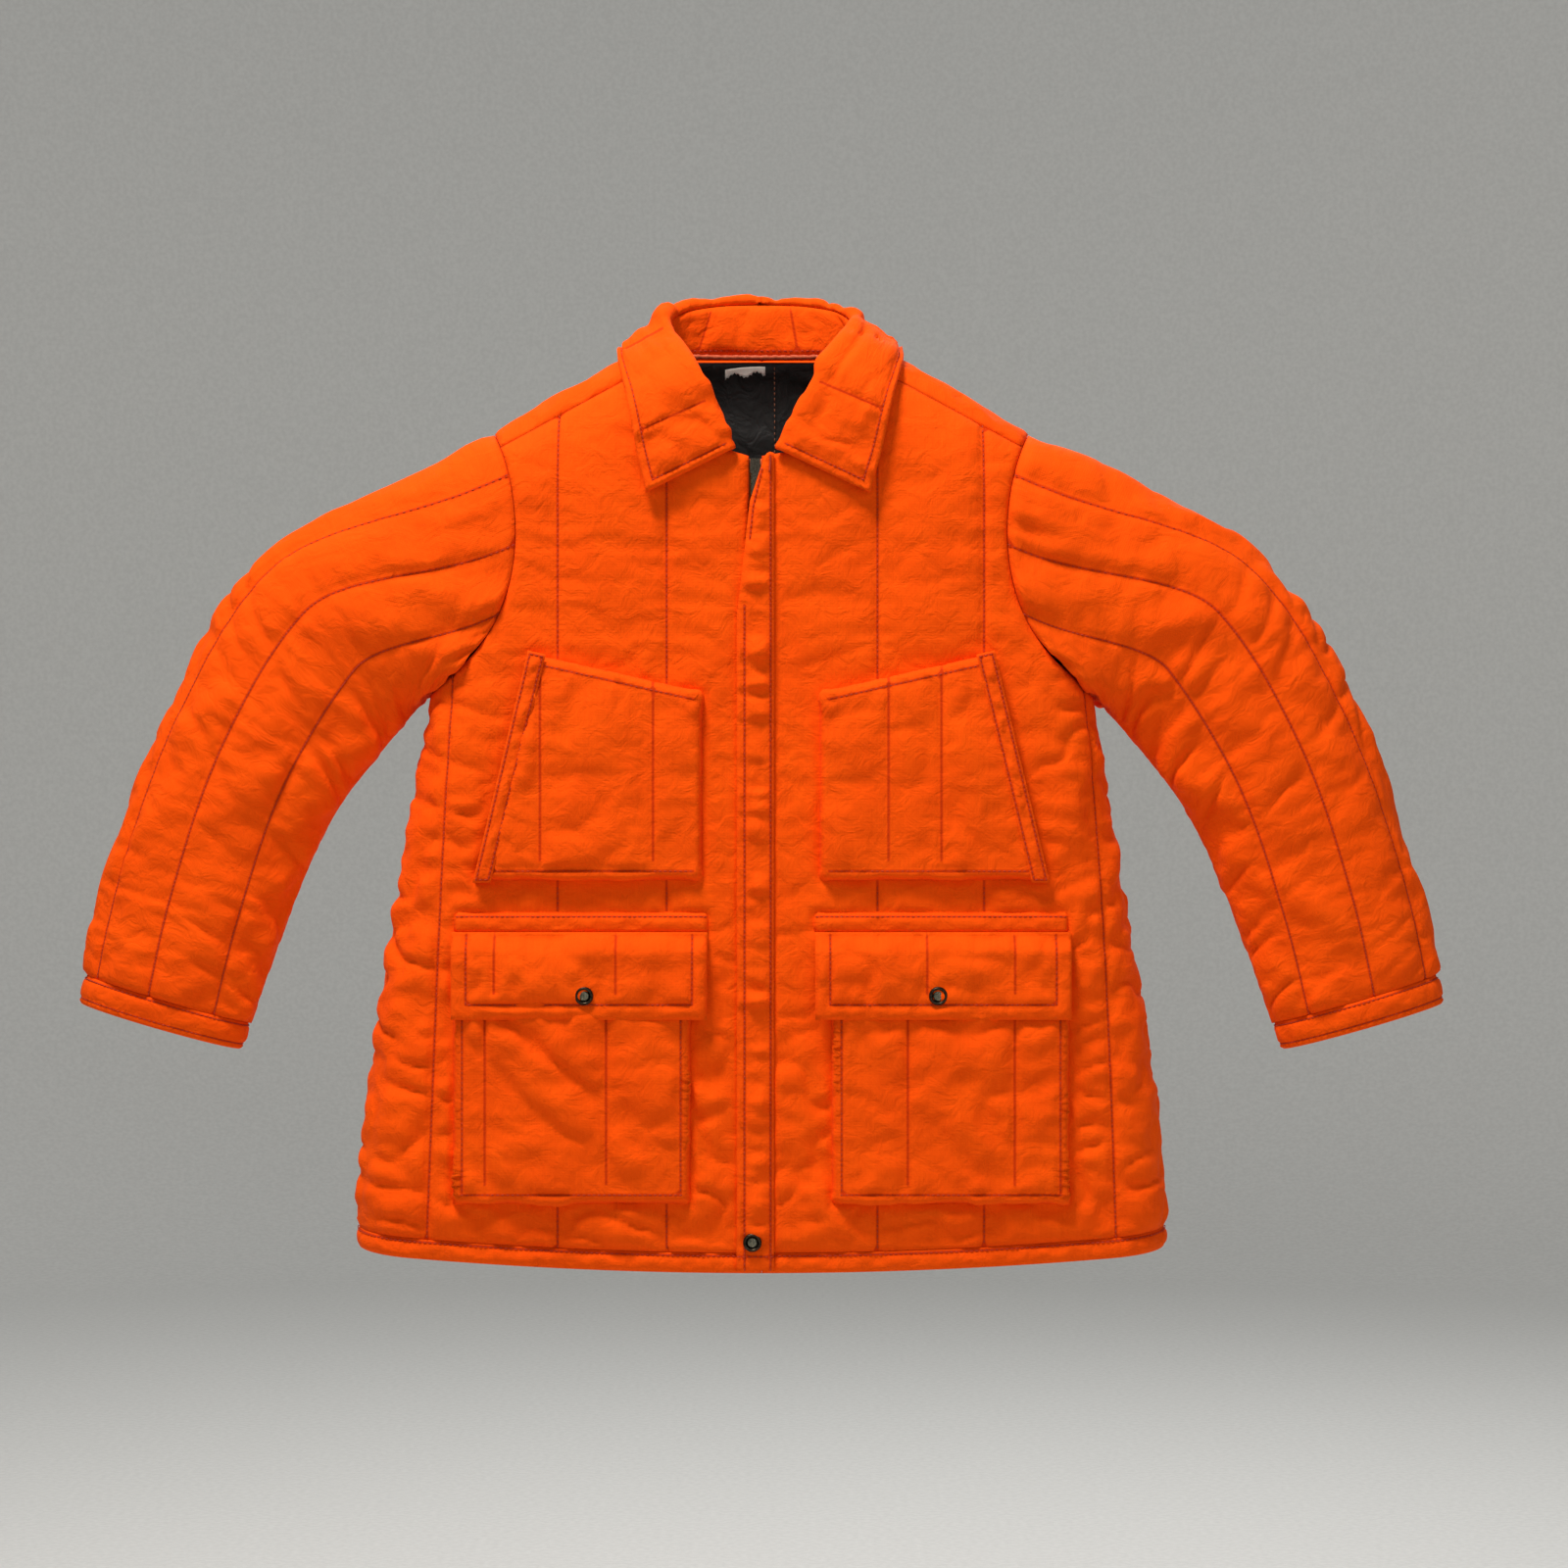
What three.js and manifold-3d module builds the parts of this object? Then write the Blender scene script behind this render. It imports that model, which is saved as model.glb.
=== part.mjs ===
// Quilted blaze orange hunting jacket, zipped up and hanging from its neck. Millimetres, +Z up.
// +X is the wearer's left, -Y the front. The origin is the centre of the neck opening,
// level with the back neck seam. "left" and "right" are the wearer's.
import * as THREE from 'three';
import { mergeVertices } from 'three/addons/utils/BufferGeometryUtils.js';
import Module from 'manifold-3d';

const wasm = await Module();
wasm.setup();

// --- driving dimensions -------------------------------------------------------------------------
// Torso outline, as half widths and heights on the front view.
const NECK_HALF = 105;
const SHOULDER_HALF = 227;
const SHOULDER_Z = -66;
const ARMPIT_HALF = 279;
const ARMPIT_Z = -287;
const HEM_HALF = 343;
const HEM_CENTRE_Z = -770;
const HEM_SIDE_Z = HEM_CENTRE_Z + 20; // the hem rises a little to the side seams
const BODY_DEPTH = 50; // front or back face to the side seams' plane
const SIDE_ROUND = 50; // width of the rounded side
const SHOULDER_FALL = 80; // how far below the shoulder line the cloth reaches its full depth
const YOKE_FRONT = 18; // the yoke's front seam, below the shoulder line
const YOKE_BACK_Z = -130;

// Cloth and clearances.
const SHELL = 6; // quilted shell: cloth, wadding and backing
const LINING = 1.2;
const LINING_GAP = 0.4;
const SEAM_GAP = 0.3;
const LAYER_GAP = 0.6; // a loose layer over another one
const HEM_WIDTH = 14;
const HEM_PROUD = 0.3;

// Sleeves, as the front view's top and underarm lines, from the shoulder and from the armpit.
const SLEEVE_LENGTH = 630; // over the top, cuff included
const SLEEVE_TOP = [[0, 0], [193, -106], [273, -228], [326, -371], [351, -481]];
const SLEEVE_UNDER = [[0, 0], [23, -25], [81, -99], [126, -198], [161, -300]];
const SLEEVE_DRAWN = 630; // the length that the two lines above are drawn for
const SLEEVE_DEPTH_TOP = 48;
const SLEEVE_DEPTH_CUFF = 34;
const ARMHOLE_GAP = 2;
const ARMHOLE_BLEND = 0.25; // part of the sleeve that turns from the armhole's outline to an oval
const CUFF_START = 0.945;
const CUFF_PROUD = 0.5;

// Front opening.
const ZIP_X = -5; // the zip stands a little to the right of the middle
const NECK_FRONT_Z = -90;
const FRONT_EDGE = 5.5; // zip line to each front edge
const LINING_START = 0.05; // of a front's width, from its edge to its lining
const PLACKET_LEFT = 10.7;
const PLACKET_RIGHT = -20.6;
const PLACKET_TOP_Z = -88;
const PLACKET_SLANT_Z = -200; // below this the free edge is straight
const PLACKET_SLANT = 25.6;
const PLACKET_THICK = 4.5;
const ZIP_BOTTOM_Z = HEM_CENTRE_Z + 64;
const UNDERLAP_Z = HEM_CENTRE_Z + 46; // below this the right front reaches under the snap
const UNDERLAP_X = 0.2;

// Zip.
const TAPE_WIDTH = 15;
const TAPE_THICK = 0.8;
const BEAD_INNER = 1.2;
const BEAD_WIDTH = 2.4;
const BEAD_HEIGHT = 3.1;
const SLIDER_LENGTH = 12;
const SLIDER_HALF = 4.3;
const SLIDER_WEB = 0.8;
const SLIDER_PLATE = 0.9;
const SLIDER_Z = -98;
const BRIDGE_HALF = 4;
const BRIDGE_HEIGHT = 2.2;
const BRIDGE_THICK = 1.6;
const PULL_LENGTH = 25;
const PULL_WIDTH = 5.6;
const PULL_THICK = 1;
const ZIP_TOP_Z = -92;
const ZIP_BOX_HEIGHT = 12;
const ZIP_BOX_WIDTH = 8;
const ZIP_PIN_RADIUS = 0.8;

// Pockets.
const POCKET_WALL = 3.5;
const POCKET_CAVITY = 6.5;
const POCKET_EDGE = 4; // gusset thickness in the plane of the front
const CHEST = { inner: 47, topInnerZ: -286, topOuter: 194, topOuterZ: -253, outer: 240, bottomZ: -446 };
const FACING_WIDTH = 15;
const CARGO = { inner: 57, outer: 259, topZ: -512, bottomZ: -716 };
const BAND = { inner: 43, outer: 257, topZ: -470, bottomZ: -487, thick: 5.5 };
const FLAP = { inner: 45, outer: 258, bottomZ: -560, thick: 5, slopeZ: -505 };

// Snap fasteners.
const SNAP_X = 147;
const SNAP_Z = -540;
const PLACKET_SNAP_X = -7.4;
const PLACKET_SNAP_Z = HEM_CENTRE_Z + 24;
const CAP_RADIUS = 7.8;
const SHANK_RADIUS = 1.8;
const SOCKET_RADIUS = 5.2;
const SOCKET_BORE = 2.7;
const SOCKET_RECESS = 2.4;
const STUD_RADIUS = 2;
const STUD_BASE = 5;
const STUD_RECESS = 1.3;

// Collar.
const COLLAR_STAND = 5;
const COLLAR_FOOT = 2; // the stand's foot, clear of the neck seam
const COLLAR_FALL = 6;
const LEAF_START = 0.66; // round the neck from the back, where the loose front leaf begins
const PIPING_RADIUS = 1.6;

const v3 = (x, y, z) => new THREE.Vector3(x, y, z);
const lerp = THREE.MathUtils.lerp;
const ramp = (x, low, high) => THREE.MathUtils.clamp((x - low) / (high - low), 0, 1);
const steps = (count, low = 0, high = 1) =>
  Array.from({ length: count + 1 }, (_, i) => lerp(low, high, i / count));

// --- making solids ------------------------------------------------------------------------------
function closedSolid(points, faces) {
  const volume = faces.reduce((sum, [a, b, c]) =>
    sum + points[a].dot(v3(0, 0, 0).crossVectors(points[b], points[c])), 0);
  const outward = volume < 0 ? faces.map(([a, b, c]) => [a, c, b]) : faces;
  const geometry = new THREE.BufferGeometry();
  geometry.setAttribute('position', new THREE.Float32BufferAttribute(points.flatMap((p) => p.toArray()), 3));
  geometry.setIndex(outward.flat());
  return geometry;
}

const quad = (a, b, c, d) => [[a, b, c], [a, c, d]];

// A surface's point and unit normal at (u, v), measured a small step either way and kept inside
// the surface's own range. A negative turn faces the normal the other way.
function frameAt(surface, u, v, range = [[-1, 1], [0, 1]], turn = 1, step = 0.002) {
  const at = (du, dv) => surface(
    THREE.MathUtils.clamp(u + du, ...range[0]), THREE.MathUtils.clamp(v + dv, ...range[1]));
  const normal = at(step, 0).sub(at(-step, 0)).cross(at(0, step).sub(at(0, -step)));
  return { point: surface(u, v), normal: normal.normalize().multiplyScalar(turn) };
}

// A cloth of one thickness: copies of a surface at two heights along its normal, closed round its
// four edges. frame gives the surface's point and normal at (u, v).
function cloth(frame, us, vs, inside, outside) {
  const grid = vs.map((v) => us.map((u) => frame(u, v)));
  const skin = (height) =>
    grid.flat().map(({ point, normal }) => point.clone().addScaledVector(normal, height));
  const points = [...skin(outside), ...skin(inside)];
  const wide = us.length;
  const tall = vs.length;
  const other = wide * tall;
  const at = (i, j) => j * wide + i;
  const faces = [];
  for (let j = 0; j + 1 < tall; j += 1) {
    for (let i = 0; i + 1 < wide; i += 1) {
      const cell = [at(i, j), at(i + 1, j), at(i + 1, j + 1), at(i, j + 1)];
      faces.push(...quad(...cell), ...quad(...cell).map(([a, b, c]) => [a + other, c + other, b + other]));
    }
  }
  const rim = [];
  for (let i = 0; i + 1 < wide; i += 1) {
    rim.push([at(i + 1, 0), at(i, 0)], [at(i, tall - 1), at(i + 1, tall - 1)]);
  }
  for (let j = 0; j + 1 < tall; j += 1) {
    rim.push([at(0, j), at(0, j + 1)], [at(wide - 1, j + 1), at(wide - 1, j)]);
  }
  rim.forEach(([a, b]) => faces.push(...quad(a, b, b + other, a + other)));
  return closedSolid(points, faces);
}

// A tube of cloth through rings of points, `depths` inside the rings' own outline.
function clothTube(ringAt, stations, around, outer, inner) {
  const point = (s, i, depth) => {
    const ring = ringAt(s);
    const angle = (n) => (2 * Math.PI * n) / around;
    const tangent = ring.point(angle(i + 0.5)).sub(ring.point(angle(i - 0.5)));
    const inward = tangent.cross(ring.axis).normalize();
    const outer = ring.point(angle(i));
    const turn = Math.sign(inward.dot(ring.centre.clone().sub(outer)));
    return outer.addScaledVector(inward, depth * turn);
  };
  const points = [outer, inner].flatMap((depth) =>
    stations.flatMap((s) => Array.from({ length: around }, (_, i) => point(s, i, depth))));
  const other = stations.length * around;
  const at = (i, j) => j * around + (i % around);
  const faces = [];
  for (let j = 0; j + 1 < stations.length; j += 1) {
    for (let i = 0; i < around; i += 1) {
      const cell = [at(i, j), at(i + 1, j), at(i + 1, j + 1), at(i, j + 1)];
      faces.push(...quad(...cell), ...quad(...cell).map(([a, b, c]) => [a + other, c + other, b + other]));
    }
  }
  for (let i = 0; i < around; i += 1) {
    const last = stations.length - 1;
    faces.push(...quad(at(i + 1, 0), at(i, 0), at(i, 0) + other, at(i + 1, 0) + other));
    faces.push(...quad(at(i, last), at(i + 1, last), at(i + 1, last) + other, at(i, last) + other));
  }
  return closedSolid(points, faces);
}

function extruded(outline, depth, holes = []) {
  const shape = new THREE.Shape(outline.map(([x, y]) => new THREE.Vector2(x, y)));
  shape.holes = holes.map((hole) => new THREE.Path(hole.map(([x, y]) => new THREE.Vector2(x, y))));
  return new THREE.ExtrudeGeometry(shape, { depth, bevelEnabled: false, steps: 1 });
}

// A flat plate in the plane of the front, outlined in X and Z, from front to back.
function plate(outline, front, back, holes) {
  return extruded(outline, back - front, holes).rotateX(Math.PI / 2).translate(0, back, 0);
}

// A bar along X with its outline in Y and Z.
function barAlongX(outline, low, high) {
  return extruded(outline, high - low).rotateX(Math.PI / 2).rotateZ(Math.PI / 2).translate(low, 0, 0);
}

const box = ([x0, y0, z0], [x1, y1, z1]) =>
  new THREE.BoxGeometry(x1 - x0, y1 - y0, z1 - z0).translate((x0 + x1) / 2, (y0 + y1) / 2, (z0 + z1) / 2);

// A turned piece whose profile heights point out of the jacket's front.
function turned(profile, x, face, z, segments = 16) {
  const points = profile.map(([radius, height]) => new THREE.Vector2(radius, height));
  return new THREE.LatheGeometry(points, segments).rotateX(Math.PI).translate(x, face, z);
}

const solidCylinder = (radius, low, high, x, face, z) =>
  turned([[0, low], [radius, low], [radius, high], [0, high]], x, face, z);

function toManifold(geometry) {
  const bare = geometry.clone();
  bare.deleteAttribute('normal');
  bare.deleteAttribute('uv');
  const merged = mergeVertices(bare, 1e-4);
  return new wasm.Manifold(new wasm.Mesh({
    numProp: 3,
    vertProperties: new Float32Array(merged.attributes.position.array),
    triVerts: new Uint32Array(merged.index.array),
  }));
}

function fromManifold(solid) {
  const mesh = solid.getMesh();
  const geometry = new THREE.BufferGeometry();
  geometry.setAttribute('position', new THREE.BufferAttribute(new Float32Array(mesh.vertProperties), 3));
  geometry.setIndex(new THREE.BufferAttribute(new Uint32Array(mesh.triVerts), 1));
  return geometry;
}

function mirrored(geometry) {
  const copy = geometry.clone().scale(-1, 1, 1);
  const index = copy.index.array;
  for (let i = 0; i < index.length; i += 3) [index[i], index[i + 1]] = [index[i + 1], index[i]];
  return copy;
}

const cut = (base, ...tools) =>
  fromManifold(tools.reduce((solid, tool) => solid.subtract(toManifold(tool)), toManifold(base)));
const join = (base, ...others) =>
  fromManifold(others.reduce((solid, other) => solid.add(toManifold(other)), toManifold(base)));

// --- materials ----------------------------------------------------------------------------------
const material = (color, roughness, metalness = 0) =>
  new THREE.MeshStandardMaterial({ color, roughness, metalness });
const duck = material(0xfe550e, 0.92);
const liningCloth = material(0x1c1a18, 0.55);
const pipingCloth = material(0xd06a48, 0.85);
const labelCloth = material(0xd8d2c4, 0.85);
const gunmetal = material(0x4a443a, 0.4, 1);
const zipMetal = material(0x8f8a80, 0.35, 1);
const zipTape = material(0xc8501c, 0.85);

const group = new THREE.Group();
function add(name, geometry, look) {
  const mesh = new THREE.Mesh(geometry, look);
  mesh.name = name;
  group.add(mesh);
}

// --- the body's surface -------------------------------------------------------------------------
const NECK_END = FRONT_EDGE - ZIP_X + 2;
const shoulderSlope = -SHOULDER_Z / (SHOULDER_HALF - NECK_HALF);

// Height of the shoulder line; inside the neck it runs on in a low arch.
function shoulderLine(x) {
  const off = Math.abs(x);
  if (off >= NECK_HALF) return -(off - NECK_HALF) * shoulderSlope;
  return (shoulderSlope * NECK_HALF / 2) * (1 - (off / NECK_HALF) ** 2);
}

// Half the torso's width, which flares from the armpit to the hem.
function halfWidth(z) {
  const down = ramp(z, ARMPIT_Z, HEM_SIDE_Z);
  const flare = down < 0.7 ? 1.2 * down : 0.84 + 0.16 * Math.sin(((down - 0.7) / 0.3) * (Math.PI / 2));
  return lerp(ARMPIT_HALF, HEM_HALF, flare);
}

const clothHalf = (z) => halfWidth(z) - SIDE_ROUND + (SIDE_ROUND * Math.PI) / 2;

const depthBelow = (fall) =>
  BODY_DEPTH * Math.sqrt(1 - (1 - ramp(fall, 0, SHOULDER_FALL)) ** 2);

// The torso at a distance over the cloth from the centre line; side is -1 at the front, 1 behind.
function torsoPoint(over, z, side) {
  const flat = halfWidth(z) - SIDE_ROUND;
  const turn = Math.max(0, Math.abs(over) - flat) / SIDE_ROUND;
  const x = Math.min(Math.abs(over), flat) + SIDE_ROUND * Math.sin(turn);
  return v3(Math.sign(over) * x, side * depthBelow(shoulderLine(x) - z) * Math.cos(turn), z);
}

// The shoulders by angle over the shoulder line: negative in front, positive behind.
function shoulderPoint(x, angle) {
  const past = Math.max(0, Math.abs(angle) - Math.PI / 2);
  const turn = Math.min(Math.abs(angle), Math.PI / 2);
  const fall = SHOULDER_FALL * (1 - Math.cos(turn)) + SHOULDER_FALL * past;
  return v3(x, Math.sign(angle) * BODY_DEPTH * Math.sin(turn), shoulderLine(x) - fall);
}

// The same two with their outward normals.
const everywhere = [[-Infinity, Infinity], [-Infinity, Infinity]];
const onTorso = (over, z, side) =>
  frameAt((a, b) => torsoPoint(a, b, side), over, z, everywhere, -side, 0.01);
const onShoulder = (x, angle) => frameAt(shoulderPoint, x, angle, everywhere, 1, 0.001);

const angleOfFall = (fall) =>
  fall < SHOULDER_FALL
    ? Math.acos(1 - fall / SHOULDER_FALL)
    : Math.PI / 2 + (fall - SHOULDER_FALL) / SHOULDER_FALL;

// Seam lines as curves of cloth distance and height, from the shoulder down.
const plane = (x, z) => new THREE.Vector2(x, z);
const armhole = new THREE.CubicBezierCurve(
  plane(SHOULDER_HALF, SHOULDER_Z),
  plane(SHOULDER_HALF - 42, SHOULDER_Z - 74),
  plane(ARMPIT_HALF - 79, ARMPIT_Z + 12),
  plane(clothHalf(ARMPIT_Z), ARMPIT_Z),
);
const neckline = new THREE.QuadraticBezierCurve(
  plane(NECK_HALF, 0),
  plane(NECK_HALF - 13, NECK_FRONT_Z + 28),
  plane(NECK_END, NECK_FRONT_Z),
);

// Where a seam line is `fall` below the shoulder line.
function atFall(curve, fall) {
  let low = 0;
  let high = 1;
  for (let i = 0; i < 40; i += 1) {
    const middle = (low + high) / 2;
    const { x, y } = curve.getPoint(middle);
    if (shoulderLine(x) - y < fall) low = middle;
    else high = middle;
  }
  return low;
}

function atHeight(curve, z) {
  let low = 0;
  let high = 1;
  for (let i = 0; i < 40; i += 1) {
    const middle = (low + high) / 2;
    if (curve.getPoint(middle).y > z) low = middle;
    else high = middle;
  }
  return low;
}

// --- torso panels -------------------------------------------------------------------------------
const ARMPIT_ROW = 0.55;
const NECK_ROW = 0.8;
const NECK_STEP = 0.01;
const hemAt = (part) => lerp(HEM_CENTRE_Z, HEM_SIDE_Z, part ** 2);

// A front from its centre edge (u = 0) to the side seam, and from the hem up to the yoke.
function frontSurface(sign, innerEdge, hemCut, top) {
  const armEnd = atFall(armhole, top);
  const neckEnd = atFall(neckline, top);
  return (u, v) => {
    let inner;
    let outer;
    if (v <= ARMPIT_ROW) {
      const z = lerp(hemAt(u) + hemCut, ARMPIT_Z, v / ARMPIT_ROW);
      inner = plane(innerEdge(z), z);
      outer = plane(clothHalf(z) - SEAM_GAP / 2, z);
    } else {
      const climb = (v - ARMPIT_ROW) / (1 - ARMPIT_ROW);
      outer = armhole.getPoint(lerp(1, armEnd, climb));
      outer.x -= SEAM_GAP / 2;
      if (v <= NECK_ROW) {
        const z = lerp(ARMPIT_Z, NECK_FRONT_Z, (v - ARMPIT_ROW) / (NECK_ROW - ARMPIT_ROW));
        inner = plane(innerEdge(z), z);
      } else {
        inner = neckline.getPoint(lerp(1, neckEnd, (v - NECK_ROW) / (1 - NECK_ROW)));
        inner.x += (innerEdge(NECK_FRONT_Z) - NECK_END) * (1 - ramp(v, NECK_ROW, NECK_ROW + NECK_STEP));
      }
    }
    return onTorso(sign * lerp(inner.x, outer.x, u), lerp(inner.y, outer.y, u), -1);
  };
}

const HEM_STEP = 0.006;
const frontColumns = [0, 0.2, 0.4, 0.56, 0.68, 0.76, 0.82, 0.88, 0.94, 1];
const hemRow = ARMPIT_ROW * ramp(UNDERLAP_Z, HEM_CENTRE_Z + HEM_WIDTH, ARMPIT_Z);
const frontRows = [0, hemRow, hemRow + HEM_STEP, 0.12, 0.22, 0.34, 0.45, ARMPIT_ROW, 0.57, 0.6, 0.64, 0.68,
  0.72, 0.76,
  NECK_ROW, NECK_ROW + NECK_STEP, 0.83, 0.86, 0.89, 0.92, 0.95, 0.975, 1];

// The back between the side seams, from the hem up to the yoke.
function backSurface(hemCut, top) {
  const armEnd = atHeight(armhole, top);
  return (u, v) => {
    const off = Math.abs(u);
    if (v <= ARMPIT_ROW) {
      const z = lerp(hemAt(off) + hemCut, ARMPIT_Z, v / ARMPIT_ROW);
      return onTorso(u * (clothHalf(z) - SEAM_GAP / 2), z, 1);
    }
    const climb = (v - ARMPIT_ROW) / (1 - ARMPIT_ROW);
    const edge = armhole.getPoint(lerp(1, armEnd, climb));
    const z = lerp(lerp(ARMPIT_Z, top, climb), edge.y, off ** 2);
    return onTorso(u * (edge.x - SEAM_GAP / 2), z, 1);
  };
}

const backColumns = [-1, -0.94, -0.88, -0.82, -0.76, -0.62, -0.4, -0.15, 0.15, 0.4, 0.62, 0.76, 0.82, 0.88,
  0.94, 1];
const backRows = [0, 0.1, 0.2, 0.32, 0.44, ARMPIT_ROW, 0.59, 0.64, 0.7, 0.77, 0.84, 0.92, 1];

// The yoke runs from the right shoulder's front seam, behind the neck, to the left one.
// u goes round the neck from -1 to 1; v goes from the neck seam out to the armholes and back seam.
const OVER = 0.8;
const CORNER = 0.45;
function yokeSurface(backZ, frontFall) {
  const armFront = atFall(armhole, frontFall);
  const armBack = atHeight(armhole, backZ);
  const neckFront = atFall(neckline, frontFall);
  return (u, v) => {
    const off = Math.abs(u);
    let inner;
    let outer;
    if (off >= OVER) {
      const forward = (off - OVER) / (1 - OVER);
      const below = (point) => [point.x, -angleOfFall(Math.max(0, shoulderLine(point.x) - point.y))];
      inner = below(neckline.getPoint(forward * neckFront));
      outer = below(armhole.getPoint(forward * armFront));
    } else {
      const x = NECK_HALF * Math.sin((off / OVER) * (Math.PI / 2));
      inner = [x, angleOfFall(shoulderLine(x))];
      if (off >= CORNER) {
        const point = armhole.getPoint(lerp(armBack, 0, (off - CORNER) / (OVER - CORNER)));
        outer = [point.x, angleOfFall(Math.max(0, shoulderLine(point.x) - point.y))];
      } else {
        const across = armhole.getPoint(armBack).x * (off / CORNER);
        outer = [across, angleOfFall(shoulderLine(across) - backZ)];
      }
      outer[0] -= SEAM_GAP / 2;
    }
    return onShoulder(Math.sign(u) * lerp(inner[0], outer[0], v), lerp(inner[1], outer[1], v));
  };
}

const yokeHalf = [0.12, 0.3, CORNER, 0.52, 0.6, 0.68, 0.74, OVER, 0.86, 0.93, 1];
const yokeColumns = [...yokeHalf.map((u) => -u).reverse(), 0, ...yokeHalf];
const yokeRows = [0, 0.1, 0.24, 0.45, 0.72, 1];

const face = -BODY_DEPTH; // the flat of the front
const sides = [['left', 1], ['right', -1]];
const frontEdge = (sign) => (z) =>
  (sign < 0 && z < UNDERLAP_Z ? -UNDERLAP_X : FRONT_EDGE + sign * ZIP_X);
const hemStart = HEM_WIDTH + SEAM_GAP;
const frontTop = YOKE_FRONT + SEAM_GAP / 2;
const liningOuter = SHELL + LINING_GAP;
const liningInner = liningOuter + LINING;

// A front's cloth between two depths under the jacket's outer surface.
const frontCloth = (sign, firstColumn, low, high) =>
  cloth(frontSurface(sign, frontEdge(sign), hemStart, frontTop),
    [firstColumn, ...frontColumns.slice(1)], frontRows, -low, -high);

// The hole and recess for a snap's post and stud through a wall.
const studHole = (x, wallFace, z) => [
  solidCylinder(SHANK_RADIUS + SEAM_GAP, -3 * SHELL, 2, x, wallFace, z),
  solidCylinder(STUD_BASE + SEAM_GAP, -STUD_RECESS, 2, x, wallFace, z),
];

add('back_panel', cloth(backSurface(hemStart, YOKE_BACK_Z - SEAM_GAP / 2),
  backColumns, backRows, 0, -SHELL), duck);
add('back_yoke', cloth(yokeSurface(YOKE_BACK_Z + SEAM_GAP / 2, YOKE_FRONT - SEAM_GAP / 2),
  yokeColumns, yokeRows, 0, -SHELL), duck);
add('front_panel_left', frontCloth(1, 0, 0, SHELL), duck);
add('front_panel_right', cut(frontCloth(-1, 0, 0, SHELL),
  ...studHole(PLACKET_SNAP_X, face, PLACKET_SNAP_Z)), duck);

add('lining_back', cloth(backSurface(hemStart, YOKE_BACK_Z - SEAM_GAP / 2),
  backColumns, backRows, -liningOuter, -liningInner), liningCloth);
add('lining_yoke', cloth(yokeSurface(YOKE_BACK_Z + SEAM_GAP / 2, YOKE_FRONT - SEAM_GAP / 2),
  yokeColumns, yokeRows, -liningOuter, -liningInner), liningCloth);
for (const [side, sign] of sides) {
  add(`lining_front_${side}`, frontCloth(sign, LINING_START, liningOuter, liningInner), liningCloth);
}

// Turned hems, a little thicker than the panels above them.
const hemBack = (u, v) => {
  const z = hemAt(Math.abs(u)) + v * HEM_WIDTH;
  return onTorso(u * (clothHalf(z) - SEAM_GAP / 2), z, 1);
};
const hemFront = (sign) => (u, v) => {
  const z = (part) => hemAt(part) + v * HEM_WIDTH;
  return onTorso(sign * lerp(frontEdge(sign)(z(u)), clothHalf(z(u)) - SEAM_GAP / 2, u), z(u), -1);
};
add('hem_back', cloth(hemBack, backColumns, [0, 1], HEM_PROUD, -SHELL - HEM_PROUD), duck);
for (const [side, sign] of sides) {
  add(`hem_front_${side}`, cloth(hemFront(sign), frontColumns, [0, 1],
    HEM_PROUD, -SHELL - HEM_PROUD), duck);
}

// A blank woven label inside the back of the neck.
const LABEL = { low: -32, high: 3, topZ: -7.6, width: 9, thick: 0.5, lift: 1.5 };
const labelSurface = (u, v) => onShoulder(lerp(LABEL.low, LABEL.high, u),
  angleOfFall(shoulderLine(0) - LABEL.topZ + v * LABEL.width));
add('neck_label', cloth(labelSurface, steps(4), steps(1),
  -liningInner - LABEL.lift, -liningInner - LABEL.lift - LABEL.thick), labelCloth);

// --- sleeves ------------------------------------------------------------------------------------
const sleeveLine = (points, x, z) => new THREE.CatmullRomCurve3(
  points.map(([across, down]) => {
    const grow = SLEEVE_LENGTH / SLEEVE_DRAWN;
    return v3(x + across * grow, 0, z + down * grow);
  }));
const sleeveTop = sleeveLine(SLEEVE_TOP, SHOULDER_HALF, SHOULDER_Z);
const sleeveUnder = sleeveLine(SLEEVE_UNDER, ARMPIT_HALF, ARMPIT_Z);

// The armhole's outline by angle: the shoulder at 0, the armpit at half a turn, the front between.
function armholePoint(angle) {
  const part = (((angle / Math.PI) % 2) + 2) % 2;
  const seam = armhole.getPoint(part <= 1 ? part : 2 - part);
  return torsoPoint(seam.x, seam.y, part <= 1 ? -1 : 1);
}

function sleeveRing(part) {
  const top = sleeveTop.getPoint(part);
  const under = sleeveUnder.getPoint(part);
  const centre = top.clone().add(under).multiplyScalar(0.5);
  const rise = top.clone().sub(under).multiplyScalar(0.5);
  const axis = v3(0, 1, 0).cross(rise).normalize();
  const depth = lerp(SLEEVE_DEPTH_TOP, SLEEVE_DEPTH_CUFF, part);
  const oval = THREE.MathUtils.smoothstep(part, 0, ARMHOLE_BLEND);
  const point = (angle) => armholePoint(angle)
    .add(top.clone().sub(sleeveTop.getPoint(0)).multiplyScalar((1 + Math.cos(angle)) / 2))
    .add(under.clone().sub(sleeveUnder.getPoint(0)).multiplyScalar((1 - Math.cos(angle)) / 2))
    .addScaledVector(axis, ARMHOLE_GAP)
    .lerp(centre.clone().addScaledVector(rise, Math.cos(angle))
      .add(v3(0, -depth * Math.sin(angle), 0)).addScaledVector(axis, ARMHOLE_GAP), oval);
  return { point, axis, centre };
}

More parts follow.
